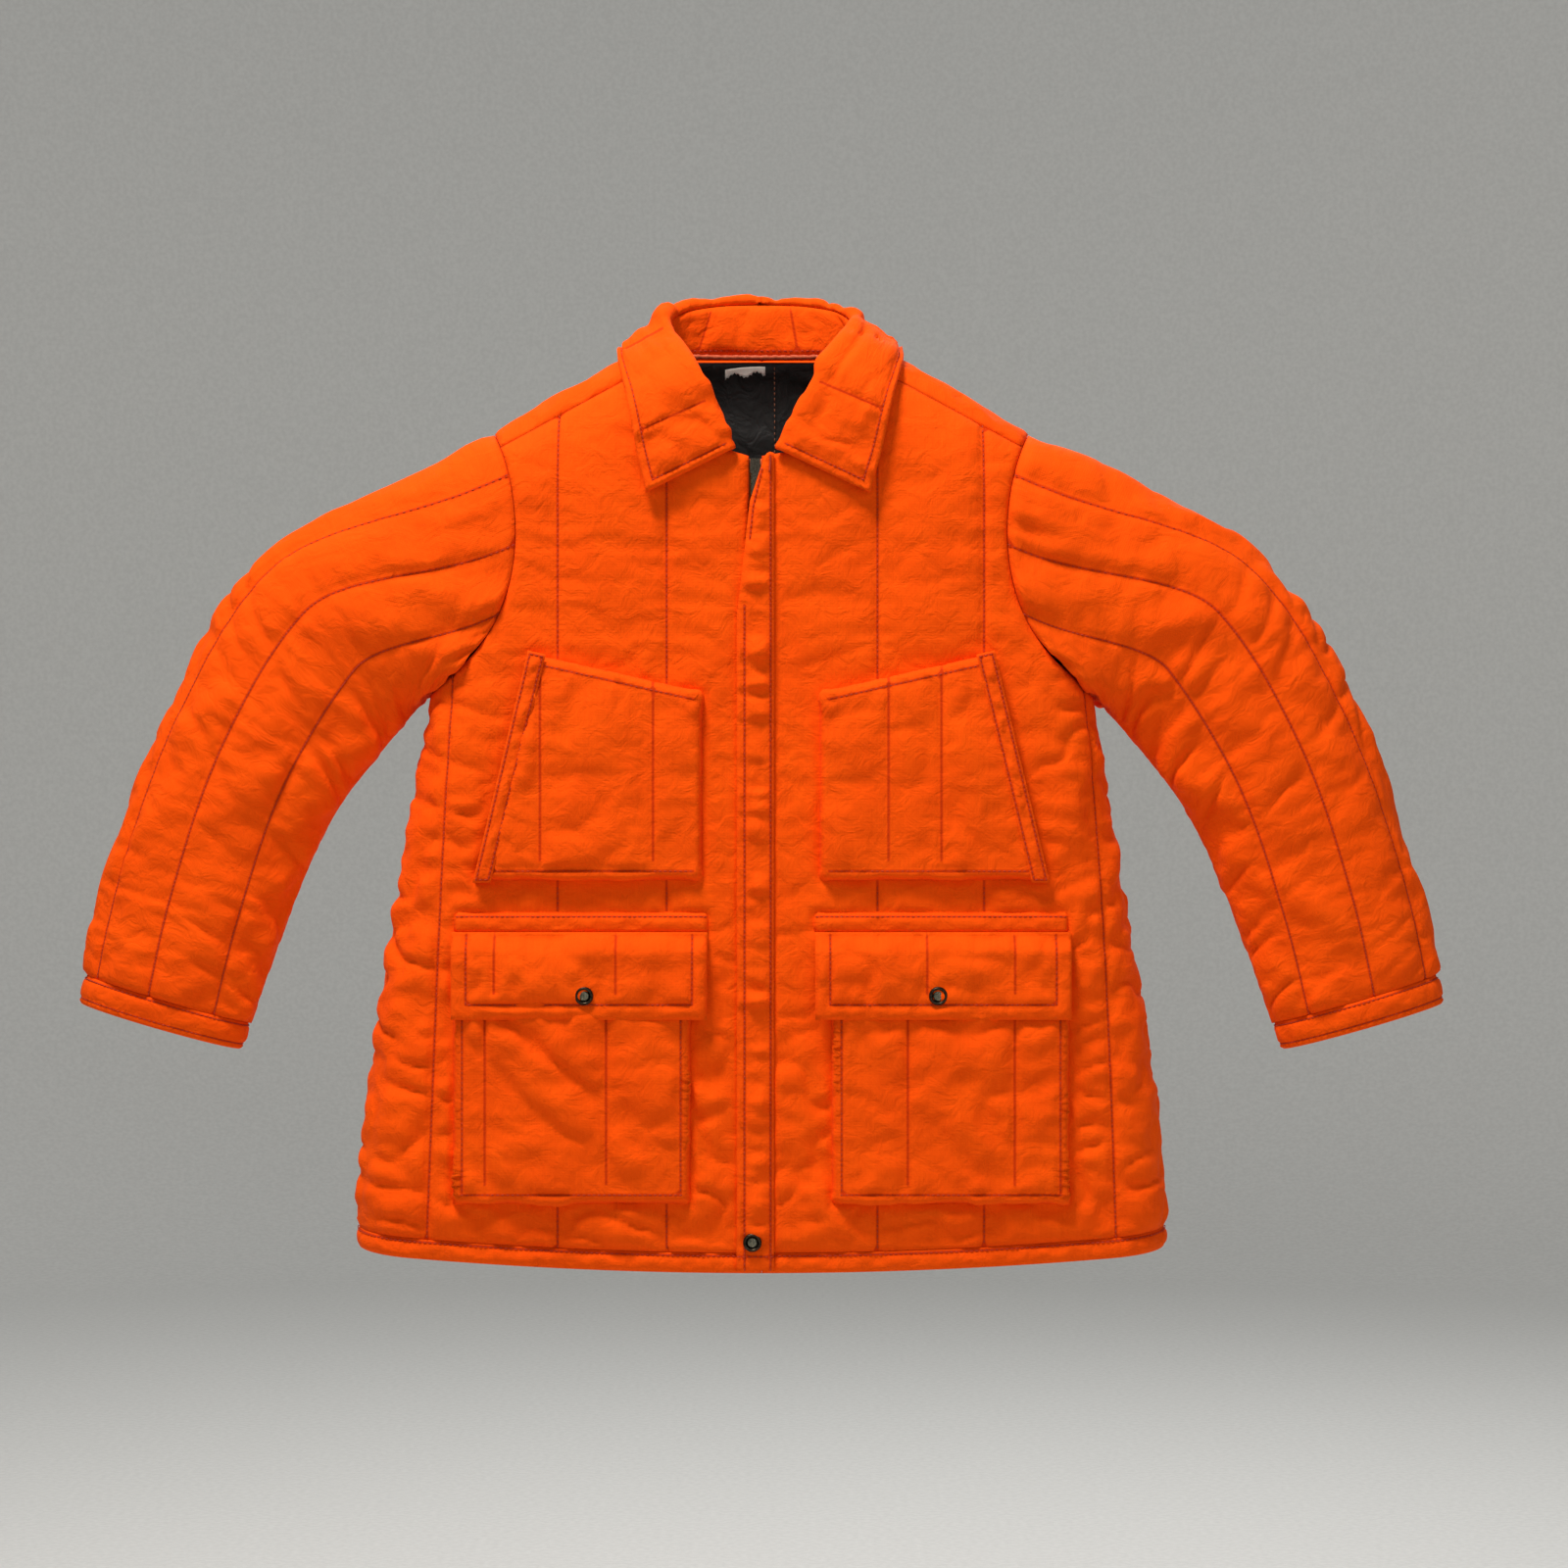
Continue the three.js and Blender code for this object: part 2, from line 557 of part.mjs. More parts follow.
const AROUND = 20;
const sleeveStations = [0, 0.05, 0.1, 0.16, 0.23, 0.32, 0.42, 0.52, 0.62, 0.72, 0.83, CUFF_START];
const CUFF_GAP = 0.0006;
for (const [side, sign] of sides) {
  const tube = (stations, outer, inner) => {
    const geometry = clothTube(sleeveRing, stations, AROUND, outer, inner);
    return sign > 0 ? geometry : mirrored(geometry);
  };
  add(`sleeve_${side}`, tube(sleeveStations, 0, SHELL), duck);
  add(`sleeve_lining_${side}`, tube(sleeveStations, liningOuter, liningInner), liningCloth);
  add(`cuff_${side}`, tube([CUFF_START + CUFF_GAP, 0.97, 1], -CUFF_PROUD, SHELL + CUFF_PROUD), duck);
}

// --- collar -------------------------------------------------------------------------------------
// Both lines run from a front end to the middle of the back, evenly by their points.
const COLLAR_NECK = 105; // the neck and the depth that the two lines are drawn for
const COLLAR_DEPTH = 50;
const collarLine = (points) => new THREE.CatmullRomCurve3(points.map(([x, y, z]) =>
  v3((x * NECK_HALF) / COLLAR_NECK, (y * BODY_DEPTH) / COLLAR_DEPTH, z)));
const rollLine = collarLine([[20, -54, -86], [36, -53, -54], [53, -50, -20], [80, 2, 26], [70, 24, 38],
  [40, 37, 45], [0, 41, 47]]);
const collarEdge = collarLine([[93.5, -57, -122], [103, -56, -84], [110, -52, -46], [118, 2, -1],
  [98, 34, -8], [60, 49, -17], [0, 54, -22]]);

// A point of one of the lines; u runs from -1 at the right front end, by 0 behind, to 1 at the left.
function roundNeck(curve, u, shift) {
  const point = curve.getPoint(1 - Math.abs(u));
  if (u < 0) point.x *= -1;
  point.x += shift * u ** 2;
  return point;
}

const neckSeam = (u) => {
  const off = Math.abs(u);
  if (off < 0.5) {
    const x = NECK_HALF * Math.sin(u * Math.PI);
    return v3(x, depthBelow(shoulderLine(x)), 0);
  }
  const seam = neckline.getPoint(lerp(0, u > 0 ? 0.96 : 0.86, (off - 0.5) * 2));
  return torsoPoint(Math.sign(u) * seam.x, seam.y, -1);
};
const rollPoint = (u) => roundNeck(rollLine, u, ZIP_X);

const standSurface = (u, v) => {
  const foot = neckSeam(u);
  const head = rollPoint(u);
  foot.addScaledVector(head.clone().sub(foot).normalize(), COLLAR_FOOT);
  return foot.lerp(head, v);
};

// The turned-down part of the collar, kept clear of the shoulders that it lies over.
const fallSurface = (u, v) => {
  const point = rollPoint(u).lerp(roundNeck(collarEdge, u, ZIP_X / 2), v);
  const under = shoulderLine(point.x) - point.z;
  if (under > 0) {
    const clear = depthBelow(under) + 3;
    point.y = Math.sign(point.y) * Math.max(Math.abs(point.y), clear);
  }
  return point;
};

const collarColumns = (low, high, count) => steps(count, low, high);
const LEAF_GAP = 0.006;
const measured = (surface) => (u, v) => frameAt(surface, u, v);
add('collar_stand', cloth(measured(standSurface), collarColumns(-1, 1, 28), steps(2),
  LAYER_GAP, LAYER_GAP + COLLAR_STAND), duck);
add('collar_fall', cloth(measured(fallSurface), collarColumns(-LEAF_START, LEAF_START, 22), steps(3),
  LAYER_GAP, LAYER_GAP + COLLAR_FALL), duck);
add('collar_leaf_left', cloth(measured(fallSurface), collarColumns(LEAF_START + LEAF_GAP, 1, 6), steps(3),
  LAYER_GAP, LAYER_GAP + COLLAR_FALL), duck);
add('collar_leaf_right', cloth(measured(fallSurface), collarColumns(-1, -LEAF_START - LEAF_GAP, 6), steps(3),
  LAYER_GAP, LAYER_GAP + COLLAR_FALL), duck);

// Corded piping over the back neck seam, inside.
const PIPING_IN = 9.5;
const pipingPath = new THREE.CatmullRomCurve3(steps(12, -Math.PI / 3, Math.PI / 3).map((turn) =>
  v3((NECK_HALF - PIPING_IN) * Math.sin(turn),
    (depthBelow(shoulderLine(0)) - PIPING_IN) * Math.cos(turn), 1)));
const roundSection = (radius, count) => new THREE.Shape(
  steps(count - 1, 0, (2 * Math.PI * (count - 1)) / count)
  .map((turn) => new THREE.Vector2(radius * Math.cos(turn), radius * Math.sin(turn))));
add('neck_piping', new THREE.ExtrudeGeometry(roundSection(PIPING_RADIUS, 8),
  { extrudePath: pipingPath, steps: 24, bevelEnabled: false }), pipingCloth);

// --- snap fasteners -----------------------------------------------------------------------------
// Cap and socket through a flap's free layer, stud and post through the wall under it.
function addSnap(name, x, z, wallFace, wall, layerFace, layer) {
  const shank = layer - SOCKET_RECESS + 0.2;
  add(`${name}_cap`, turned([[0, -shank], [SHANK_RADIUS, -shank], [SHANK_RADIUS, SEAM_GAP],
    [CAP_RADIUS - 0.4, SEAM_GAP], [CAP_RADIUS, 1.1], [CAP_RADIUS - 0.8, 2.3], [5.4, 2.9], [4.6, 2.4],
    [0, 2.9]], x, layerFace - layer, z, 20), gunmetal);
  add(`${name}_socket`, turned([[SOCKET_BORE, 0.2], [SOCKET_RADIUS, 0.2],
    [SOCKET_RADIUS, SOCKET_RECESS - 0.3],
    [SOCKET_BORE, SOCKET_RECESS - 0.3], [SOCKET_BORE, 0.2]], x, layerFace, z), gunmetal);
  add(`${name}_stud`, turned([[0, -STUD_RECESS + 0.3], [STUD_BASE, -STUD_RECESS + 0.3], [STUD_BASE, -0.1],
    [STUD_RADIUS, 0.1], [STUD_RADIUS - 0.3, 0.9], [STUD_RADIUS, 1.4], [STUD_RADIUS - 0.5, 2], [0, 2]],
  x, wallFace, z), gunmetal);
  const flange = -wall - SEAM_GAP;
  add(`${name}_post`, turned([[0, flange - 0.8], [STUD_BASE - 0.5, flange - 0.8], [STUD_BASE - 0.5, flange],
    [SHANK_RADIUS, flange], [SHANK_RADIUS, -STUD_RECESS], [0, -STUD_RECESS]], x, wallFace, z), gunmetal);
}

// The hole for a cap's shank through a loose layer, with its socket's recess behind.
const capHole = (x, layerFace, z) => [
  solidCylinder(SHANK_RADIUS + SEAM_GAP, -2, 3 * SHELL, x, layerFace, z),
  solidCylinder(SOCKET_RADIUS + SEAM_GAP, -2, SOCKET_RECESS, x, layerFace, z),
];

// --- front opening ------------------------------------------------------------------------------
const placketBack = face - LAYER_GAP;
add('placket', cut(plate([
  [PLACKET_LEFT, HEM_CENTRE_Z], [PLACKET_LEFT, PLACKET_TOP_Z], [PLACKET_LEFT - 3, PLACKET_TOP_Z + 1],
  [PLACKET_RIGHT + PLACKET_SLANT + 1, PLACKET_TOP_Z - 1], [PLACKET_RIGHT + PLACKET_SLANT, PLACKET_TOP_Z - 5],
  [PLACKET_RIGHT, PLACKET_SLANT_Z], [PLACKET_RIGHT, HEM_CENTRE_Z],
], placketBack - PLACKET_THICK, placketBack), ...capHole(PLACKET_SNAP_X, placketBack, PLACKET_SNAP_Z)), duck);
addSnap('placket_snap', PLACKET_SNAP_X, PLACKET_SNAP_Z, face, SHELL, placketBack, PLACKET_THICK);

const tapeFront = face + SHELL + SEAM_GAP;
const tapeBack = tapeFront + TAPE_THICK;
const beadFront = tapeFront - BEAD_HEIGHT;
for (const [side, sign] of sides) {
  const at = (x, y) => [ZIP_X + sign * x, y];
  const outline = [at(BEAD_INNER, beadFront), at(BEAD_INNER + BEAD_WIDTH, beadFront),
    at(BEAD_INNER + BEAD_WIDTH, tapeFront), at(TAPE_WIDTH, tapeFront), at(TAPE_WIDTH, tapeBack),
    at(BEAD_INNER, tapeBack)];
  add(`zip_tape_${side}`, extruded(outline, ZIP_TOP_Z - ZIP_BOTTOM_Z).translate(0, 0, ZIP_BOTTOM_Z), zipTape);
}

const plateBack = beadFront - SEAM_GAP; // back of the slider's front plate
const plateFront = plateBack - SLIDER_PLATE;
const rearPlate = tapeBack + SEAM_GAP;
const sliderEnds = [SLIDER_Z - SLIDER_LENGTH / 2, SLIDER_Z + SLIDER_LENGTH / 2];
const inSlider = (x, y0, y1) => box([ZIP_X - x, y0, sliderEnds[0]], [ZIP_X + x, y1, sliderEnds[1]]);
const bridgeTop = plateFront - BRIDGE_HEIGHT;
const bridgeInside = bridgeTop + 0.8;
const bridge = barAlongX([
  [plateFront + 0.4, -BRIDGE_HALF], [bridgeTop, -BRIDGE_HALF], [bridgeTop, BRIDGE_HALF],
  [plateFront + 0.4, BRIDGE_HALF], [plateFront + 0.4, BRIDGE_HALF - 1.3], [bridgeInside, BRIDGE_HALF - 1.3],
  [bridgeInside, 1.3 - BRIDGE_HALF], [plateFront + 0.4, 1.3 - BRIDGE_HALF],
], ZIP_X - BRIDGE_THICK / 2, ZIP_X + BRIDGE_THICK / 2).translate(0, 0, SLIDER_Z);
add('zip_slider', join(inSlider(SLIDER_HALF, plateFront, plateBack),
  inSlider(SLIDER_WEB, plateBack - 0.4, rearPlate + 0.4),
  inSlider(SLIDER_HALF, rearPlate, rearPlate + SLIDER_PLATE), bridge), zipMetal);

const pullMiddle = (plateFront + bridgeInside) / 2;
const CROSSBAR = 0.4; // half its height
const WINDOW_HALF = 1.5;
const pullHalf = PULL_WIDTH / 2;
add('zip_pull', plate([[-pullHalf, CROSSBAR], [pullHalf, CROSSBAR], [pullHalf, -PULL_LENGTH + 2],
  [pullHalf - 1.5, -PULL_LENGTH], [1.5 - pullHalf, -PULL_LENGTH], [-pullHalf, -PULL_LENGTH + 2]],
pullMiddle - PULL_THICK / 2, pullMiddle + PULL_THICK / 2,
[[[-WINDOW_HALF, -CROSSBAR], [-WINDOW_HALF, -BRIDGE_HALF - 2.2], [WINDOW_HALF, -BRIDGE_HALF - 2.2],
  [WINDOW_HALF, -CROSSBAR]]]).translate(ZIP_X, 0, SLIDER_Z), zipMetal);

const pinX = ZIP_X + BEAD_INNER + BEAD_WIDTH / 2;
const pinY = (beadFront + tapeBack) / 2;
const boxTop = ZIP_BOTTOM_Z - SEAM_GAP;
const standing = (radius, top, height) =>
  new THREE.CylinderGeometry(radius, radius, height, 12).rotateX(Math.PI / 2)
    .translate(pinX, pinY, top - height / 2);
add('zip_box', cut(box([pinX + 1.6 - ZIP_BOX_WIDTH, beadFront + 0.2, boxTop - ZIP_BOX_HEIGHT],
  [pinX + 1.6, tapeBack + 0.2, boxTop]),
standing(ZIP_PIN_RADIUS + SEAM_GAP, boxTop + 1, ZIP_BOX_HEIGHT + 2)), zipMetal);
add('zip_pin', standing(ZIP_PIN_RADIUS, boxTop, ZIP_BOX_HEIGHT - 2), zipMetal);

// --- pockets ------------------------------------------------------------------------------------
const pocketBack = face - SEAM_GAP;
const pocketFace = pocketBack - POCKET_CAVITY - POCKET_WALL;
const cavityFace = pocketBack - POCKET_CAVITY;
const flapBack = pocketFace - LAYER_GAP;
const chestRise = (CHEST.topOuterZ - CHEST.topInnerZ) / (CHEST.topOuter - CHEST.inner);
const past = CHEST.outer + 20; // beyond the hand opening
for (const [side, sign] of sides) {
  const mirrorX = (points) => points.map(([x, z]) => [sign * x, z]);

  // Chest pocket: open along its slanted outer edge.
  const chestCavity = [[CHEST.inner + POCKET_EDGE, CHEST.bottomZ + POCKET_EDGE],
    [CHEST.inner + POCKET_EDGE, CHEST.topInnerZ + POCKET_EDGE * (chestRise - 1)],
    [past, CHEST.topInnerZ - POCKET_EDGE + chestRise * (past - CHEST.inner)],
    [past, CHEST.bottomZ + POCKET_EDGE]];
  add(`chest_pocket_${side}`, cut(plate(mirrorX([[CHEST.inner, CHEST.bottomZ], [CHEST.inner, CHEST.topInnerZ],
    [CHEST.topOuter, CHEST.topOuterZ], [CHEST.outer, CHEST.bottomZ]]), pocketFace, pocketBack),
  plate(mirrorX(chestCavity), cavityFace, pocketBack + 2)), duck);
  add(`chest_pocket_facing_${side}`, plate(mirrorX([
    [CHEST.topOuter - FACING_WIDTH, CHEST.topOuterZ - FACING_WIDTH * chestRise],
    [CHEST.topOuter, CHEST.topOuterZ],
    [CHEST.outer, CHEST.bottomZ], [CHEST.outer - FACING_WIDTH, CHEST.bottomZ]]),
  pocketFace - SEAM_GAP - 1.5, pocketFace - SEAM_GAP), duck);

  // Cargo pocket: open at the top, under its flap.
  add(`cargo_pocket_${side}`, cut(
    plate(mirrorX([[CARGO.inner, CARGO.bottomZ], [CARGO.inner, CARGO.topZ], [CARGO.outer, CARGO.topZ],
      [CARGO.outer, CARGO.bottomZ]]), pocketFace, pocketBack),
    plate(mirrorX([[CARGO.inner + POCKET_EDGE, CARGO.bottomZ + POCKET_EDGE],
      [CARGO.inner + POCKET_EDGE, CARGO.topZ + 9],
      [CARGO.outer - POCKET_EDGE, CARGO.topZ + 9], [CARGO.outer - POCKET_EDGE, CARGO.bottomZ + POCKET_EDGE]]),
    cavityFace, pocketBack + 2),
    ...studHole(sign * SNAP_X, pocketFace, SNAP_Z)), duck);
  add(`flap_band_${side}`, plate(mirrorX([[BAND.inner, BAND.bottomZ], [BAND.inner, BAND.topZ],
    [BAND.outer, BAND.topZ], [BAND.outer, BAND.bottomZ]]), pocketBack - BAND.thick, pocketBack), duck);

  // Flap: hinged along its top edge, over the pocket's mouth.
  const hangZ = BAND.bottomZ - 0.4;
  const topBack = pocketBack - LAYER_GAP;
  const flapOutline = [[topBack - FLAP.thick, hangZ], [topBack, hangZ], [flapBack, FLAP.slopeZ],
    [flapBack, FLAP.bottomZ],
    [flapBack - FLAP.thick, FLAP.bottomZ], [flapBack - FLAP.thick, FLAP.slopeZ + 2]];
  const ends = [sign * FLAP.inner, sign * FLAP.outer].sort((a, b) => a - b);
  add(`flap_${side}`, cut(barAlongX(flapOutline, ...ends),
    ...capHole(sign * SNAP_X, flapBack, SNAP_Z)), duck);
  addSnap(`flap_snap_${side}`, sign * SNAP_X, SNAP_Z, pocketFace, POCKET_WALL, flapBack, FLAP.thick);
}

export default group;
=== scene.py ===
"""Quilted blaze orange hunting jacket, hanging closed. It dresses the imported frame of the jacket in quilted
cloth, thread, zip and snaps. Lengths in the code are millimetres unless a name says otherwise; the objects
that it makes are in metres. +X is the wearer's left and -Y the front."""

import math

import bpy
import numpy as np
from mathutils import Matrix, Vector
from mathutils.geometry import delaunay_2d_cdt


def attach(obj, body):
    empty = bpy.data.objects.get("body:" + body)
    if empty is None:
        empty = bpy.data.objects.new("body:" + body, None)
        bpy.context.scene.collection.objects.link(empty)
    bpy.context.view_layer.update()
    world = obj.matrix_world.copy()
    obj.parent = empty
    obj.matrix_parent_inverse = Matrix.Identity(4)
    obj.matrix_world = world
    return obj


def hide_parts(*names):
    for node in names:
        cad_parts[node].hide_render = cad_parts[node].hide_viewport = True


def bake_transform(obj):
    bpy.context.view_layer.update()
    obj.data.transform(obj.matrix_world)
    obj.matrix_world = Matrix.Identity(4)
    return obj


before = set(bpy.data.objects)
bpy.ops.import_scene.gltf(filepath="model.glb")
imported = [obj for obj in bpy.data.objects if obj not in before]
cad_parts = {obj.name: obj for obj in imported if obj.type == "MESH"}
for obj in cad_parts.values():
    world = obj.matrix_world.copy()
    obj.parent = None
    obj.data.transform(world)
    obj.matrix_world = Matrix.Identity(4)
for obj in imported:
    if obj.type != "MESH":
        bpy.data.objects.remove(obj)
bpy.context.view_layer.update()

bl_info = {
    "name": "Quilted hunting jacket",
    "version": (1, 0, 0),
    "blender": (4, 5, 0),
    "location": "View3D > Sidebar > Jacket",
    "description": "Dresses the frame of a quilted hunting jacket in cloth, thread and metal",
    "category": "Object",
}

MM = 0.001
RUMPLE = 2.3  # how much deeper the wrinkles are than their noise
SIDES = (("left", 1), ("right", -1))

# The jacket's outline, as on its frame.
NECK_HALF, SHOULDER_HALF, SHOULDER_Z = 105, 227, -66
ARMPIT_HALF, ARMPIT_Z, HEM_HALF = 279, -287, 343
HEM_CENTRE_Z, HEM_SIDE_Z, HEM_WIDTH = -770, -750, 14
DEPTH, SIDE_ROUND, SHOULDER_FALL = 50, 50, 80
YOKE_FRONT, YOKE_BACK_Z, NECK_FRONT_Z = 18, -130, -90
SHELL, LINING_DEPTH, LINING, SEAM_GAP = 6, 7.6, 1.2, 0.3
ZIP_X, FRONT_EDGE, UNDERLAP_Z = -5, 5.5, HEM_CENTRE_Z + 46
FACE = -DEPTH
PLACKET_FREE, PLACKET_BENT, PLACKET_SEWN = -20.6, 5.5, 10.7
SLOPE = -SHOULDER_Z / (SHOULDER_HALF - NECK_HALF)


# --- the jacket's surface ----------------------------------------------------------------------------------
def bezier(points, t):
    """Points of a Bezier curve at t, from 0 to 1."""
    t = np.asarray(t, float)[..., None]
    points = [np.asarray(p, float) for p in points]
    while len(points) > 1:
        points = [a + (b - a) * t for a, b in zip(points, points[1:])]
    return points[0]


def spline(points, t):
    """Points of a smooth curve through the given points, at t from 0 to 1 evenly by point."""
    points = np.asarray(points, float)
    first, last = 2 * points[0] - points[1], 2 * points[-1] - points[-2]
    padded = np.vstack([first, points, last])
    place = np.clip(np.asarray(t, float), 0, 1) * (len(points) - 1)
    cell = np.minimum(place.astype(int), len(points) - 2)
    w = (place - cell)[..., None]
    p0, p1, p2, p3 = (padded[cell + k] for k in range(4))
    d0, d1, d2 = (
        np.sqrt(np.linalg.norm(b - a, axis=-1))[..., None] for a, b in ((p0, p1), (p1, p2), (p2, p3))
    )
    t1 = ((p1 - p0) / d0 - (p2 - p0) / (d0 + d1) + (p2 - p1) / d1) * d1
    t2 = ((p2 - p1) / d1 - (p3 - p1) / (d1 + d2) + (p3 - p2) / d2) * d1
    return p1 + t1 * w + (3 * p2 - 3 * p1 - 2 * t1 - t2) * w**2 + (2 * p1 - 2 * p2 + t1 + t2) * w**3


def stack(x, y, z):
    return np.stack(np.broadcast_arrays(x, y, z), axis=-1).astype(float)


def ramp(x, low, high):
    return np.clip((x - low) / (high - low), 0, 1)


def smooth(x):
    """Eases x, from 0 to 1, at both its ends."""
    return x * x * (3 - 2 * x)


def shoulder_line(x):
    off = np.abs(x)
    inside = SLOPE * NECK_HALF / 2 * (1 - (off / NECK_HALF) ** 2)
    return np.where(off >= NECK_HALF, -(off - NECK_HALF) * SLOPE, inside)


def half_width(z):
    down = ramp(np.asarray(z, float), ARMPIT_Z, HEM_SIDE_Z)
    low = 0.84 + 0.16 * np.sin((down - 0.7) / 0.3 * np.pi / 2)
    return ARMPIT_HALF + (HEM_HALF - ARMPIT_HALF) * np.where(down < 0.7, 1.2 * down, low)


def cloth_half(z):
    return half_width(z) - SIDE_ROUND + SIDE_ROUND * np.pi / 2


def depth_below(fall):
    return DEPTH * np.sqrt(1 - (1 - ramp(fall, 0, SHOULDER_FALL)) ** 2)


def torso(over, z, side):
    """The torso at a distance over the cloth from the centre line; side is -1 in front and 1 behind."""
    flat = half_width(z) - SIDE_ROUND
    turn = np.maximum(0, np.abs(over) - flat) / SIDE_ROUND
    x = np.minimum(np.abs(over), flat) + SIDE_ROUND * np.sin(turn)
    return stack(np.sign(over) * x, side * depth_below(shoulder_line(x) - z) * np.cos(turn), z)


def shoulders(x, angle):
    """The shoulders by angle over the shoulder line, negative in front."""
    past = np.maximum(0, np.abs(angle) - np.pi / 2)
    turn = np.minimum(np.abs(angle), np.pi / 2)
    fall = SHOULDER_FALL * (1 - np.cos(turn) + past)
    return stack(x, np.sign(angle) * DEPTH * np.sin(turn), shoulder_line(x) - fall)


def angle_of_fall(fall):
    near = np.arccos(np.clip(1 - fall / SHOULDER_FALL, -1, 1))
    return np.where(fall < SHOULDER_FALL, near, np.pi / 2 + (fall - SHOULDER_FALL) / SHOULDER_FALL)


def armhole(t):
    return bezier(
        [(SHOULDER_HALF, SHOULDER_Z), (185, -140), (200, -275), (float(cloth_half(ARMPIT_Z)), ARMPIT_Z)], t
    )


def neckline(t):
    return bezier([(NECK_HALF, 0), (92, -62), (12.5, NECK_FRONT_Z)], t)


def bisect(passed):
    """The part of a curve where passed() stops being true."""
    low, high = 0.0, 1.0
    for _ in range(40):
        middle = (low + high) / 2
        low, high = (middle, high) if passed(middle) else (low, middle)
    return low


def at_fall(curve, fall):
    return bisect(lambda t: shoulder_line(curve(t)[0]) - curve(t)[1] < fall)


def at_height(curve, z):
    return bisect(lambda t: curve(t)[1] > z)


def hem_at(part):
    return HEM_CENTRE_Z + (HEM_SIDE_Z - HEM_CENTRE_Z) * np.asarray(part, float) ** 2


def front_edge(sign, z):
    return np.where((sign < 0) & (z < UNDERLAP_Z), -0.2, FRONT_EDGE + sign * ZIP_X)


# --- flat patterns -----------------------------------------------------------------------------------------
def spaced(line, step, closed=False):
    """The line as points about a step apart, its own corners kept."""
    line = np.asarray(line, float)
    ends = np.vstack([line, line[:1]]) if closed else line
    found = []
    for a, b in zip(ends, ends[1:]):
        count = max(1, round(float(np.linalg.norm(b - a)) / step))
        found.append(a + (b - a) * np.arange(count)[:, None] / count)
    if not closed:
        found.append(ends[-1:])
    return np.vstack(found)


def even(line, step):
    """Points exactly a step apart along a line, with the line's direction at each."""
    line = np.asarray(line, float)
    lengths = np.linalg.norm(np.diff(line, axis=0), axis=1)
    run = np.concatenate([[0], np.cumsum(lengths)])
    count = max(1, int(run[-1] / step))
    at = (np.arange(count) + 0.5) * run[-1] / count
    points = np.stack([np.interp(at, run, line[:, k]) for k in range(2)], axis=1)
    cell = np.clip(np.searchsorted(run, at) - 1, 0, len(lengths) - 1)
    return points, (line[cell + 1] - line[cell]) / lengths[cell][:, None]


def away(points, line, closed=False):
    """Each point's distance from a line, and how far along the line its nearest place is."""
    line = np.asarray(line, float)
    ends = np.vstack([line, line[:1]]) if closed else line
    best, along, run = np.full(len(points), 1e9), np.zeros(len(points)), 0.0
    for a, b in zip(ends, ends[1:]):
        d = b - a
        length = float(np.linalg.norm(d))
        if length < 1e-9:
            continue
        t = np.clip((points - a) @ d / length**2, 0, 1)
        gap = np.linalg.norm(points - (a + t[:, None] * d), axis=1)
        nearer = gap < best
        best, along = np.where(nearer, gap, best), np.where(nearer, run + t * length, along)
        run += length
    return best, along


def within(points, outline):
    """True for the points inside an outline."""
    x, y = points[:, 0], points[:, 1]
    inside = np.zeros(len(points), bool)
    for (ax, ay), (bx, by) in zip(outline, np.roll(outline, -1, axis=0)):
        if ay != by:
            inside ^= ((ay > y) != (by > y)) & (x < (bx - ax) * (y - ay) / (by - ay) + ax)
    return inside


def turning(outline):
    """Twice the outline's area, positive where it runs anticlockwise."""
    return sum(a[0] * b[1] - b[0] * a[1] for a, b in zip(outline, np.roll(outline, -1, axis=0)))


def pattern_mesh(outline, lines, step):
    """Even triangles inside an outline, with the sewn lines as their edges. The first points are the rim."""
    outline = np.asarray(outline, float)[:: 1 if turning(outline) > 0 else -1]
    rim = spaced(outline, 4.0, closed=True)
    points, edges = [rim], [(i, (i + 1) % len(rim)) for i in range(len(rim))]
    total = len(rim)
    for line in lines:
        row = spaced(line, step)
        keep = within(row, outline) & (away(row, outline, True)[0] > 0.5 * step)
        for other in points[1:]:
            keep &= np.linalg.norm(row[:, None] - other[None], axis=2).min(axis=1, initial=1e9) > 0.45 * step
        index = np.cumsum(keep) - 1 + total
        edges += [(index[i], index[i + 1]) for i in range(len(row) - 1) if keep[i] and keep[i + 1]]
        points.append(row[keep])
        total += int(keep.sum())
    low, high = outline.min(0), outline.max(0)
    x, z = np.meshgrid(np.arange(low[0], high[0], step), np.arange(low[1], high[1], step * 0.866))
    x[1::2] += step / 2
    fill = np.stack([x.ravel(), z.ravel()], axis=1)
    fill = fill[within(fill, outline)]
    fill = fill[away(fill, outline, True)[0] > 0.55 * step]
    for line in lines:
        fill = fill[away(fill, line)[0] > 0.5 * step]
    points = np.vstack([*points, fill])
    found, _, faces, origin, _, _ = delaunay_2d_cdt(
        [Vector(p) for p in points], [tuple(map(int, e)) for e in edges], [], 1, 1e-5
    )
    flat = np.array([tuple(p) for p in found])
    faces = np.array([f for f in faces if len(f) == 3])
    where = {old: new for new, olds in enumerate(origin) for old in olds}
    order = np.array([where[i] for i in range(len(rim))])
    a, b, c = (flat[faces[:, k]] for k in range(3))
    turned = (b - a)[:, 0] * (c - a)[:, 1] - (b - a)[:, 1] * (c - a)[:, 0] < 0
    faces[turned] = faces[turned][:, [0, 2, 1]]
    used = np.zeros(len(flat), bool)
    used[faces] = True
    used[order] = True
    renumber = np.cumsum(used) - 1
    return flat[used], renumber[faces], renumber[order]


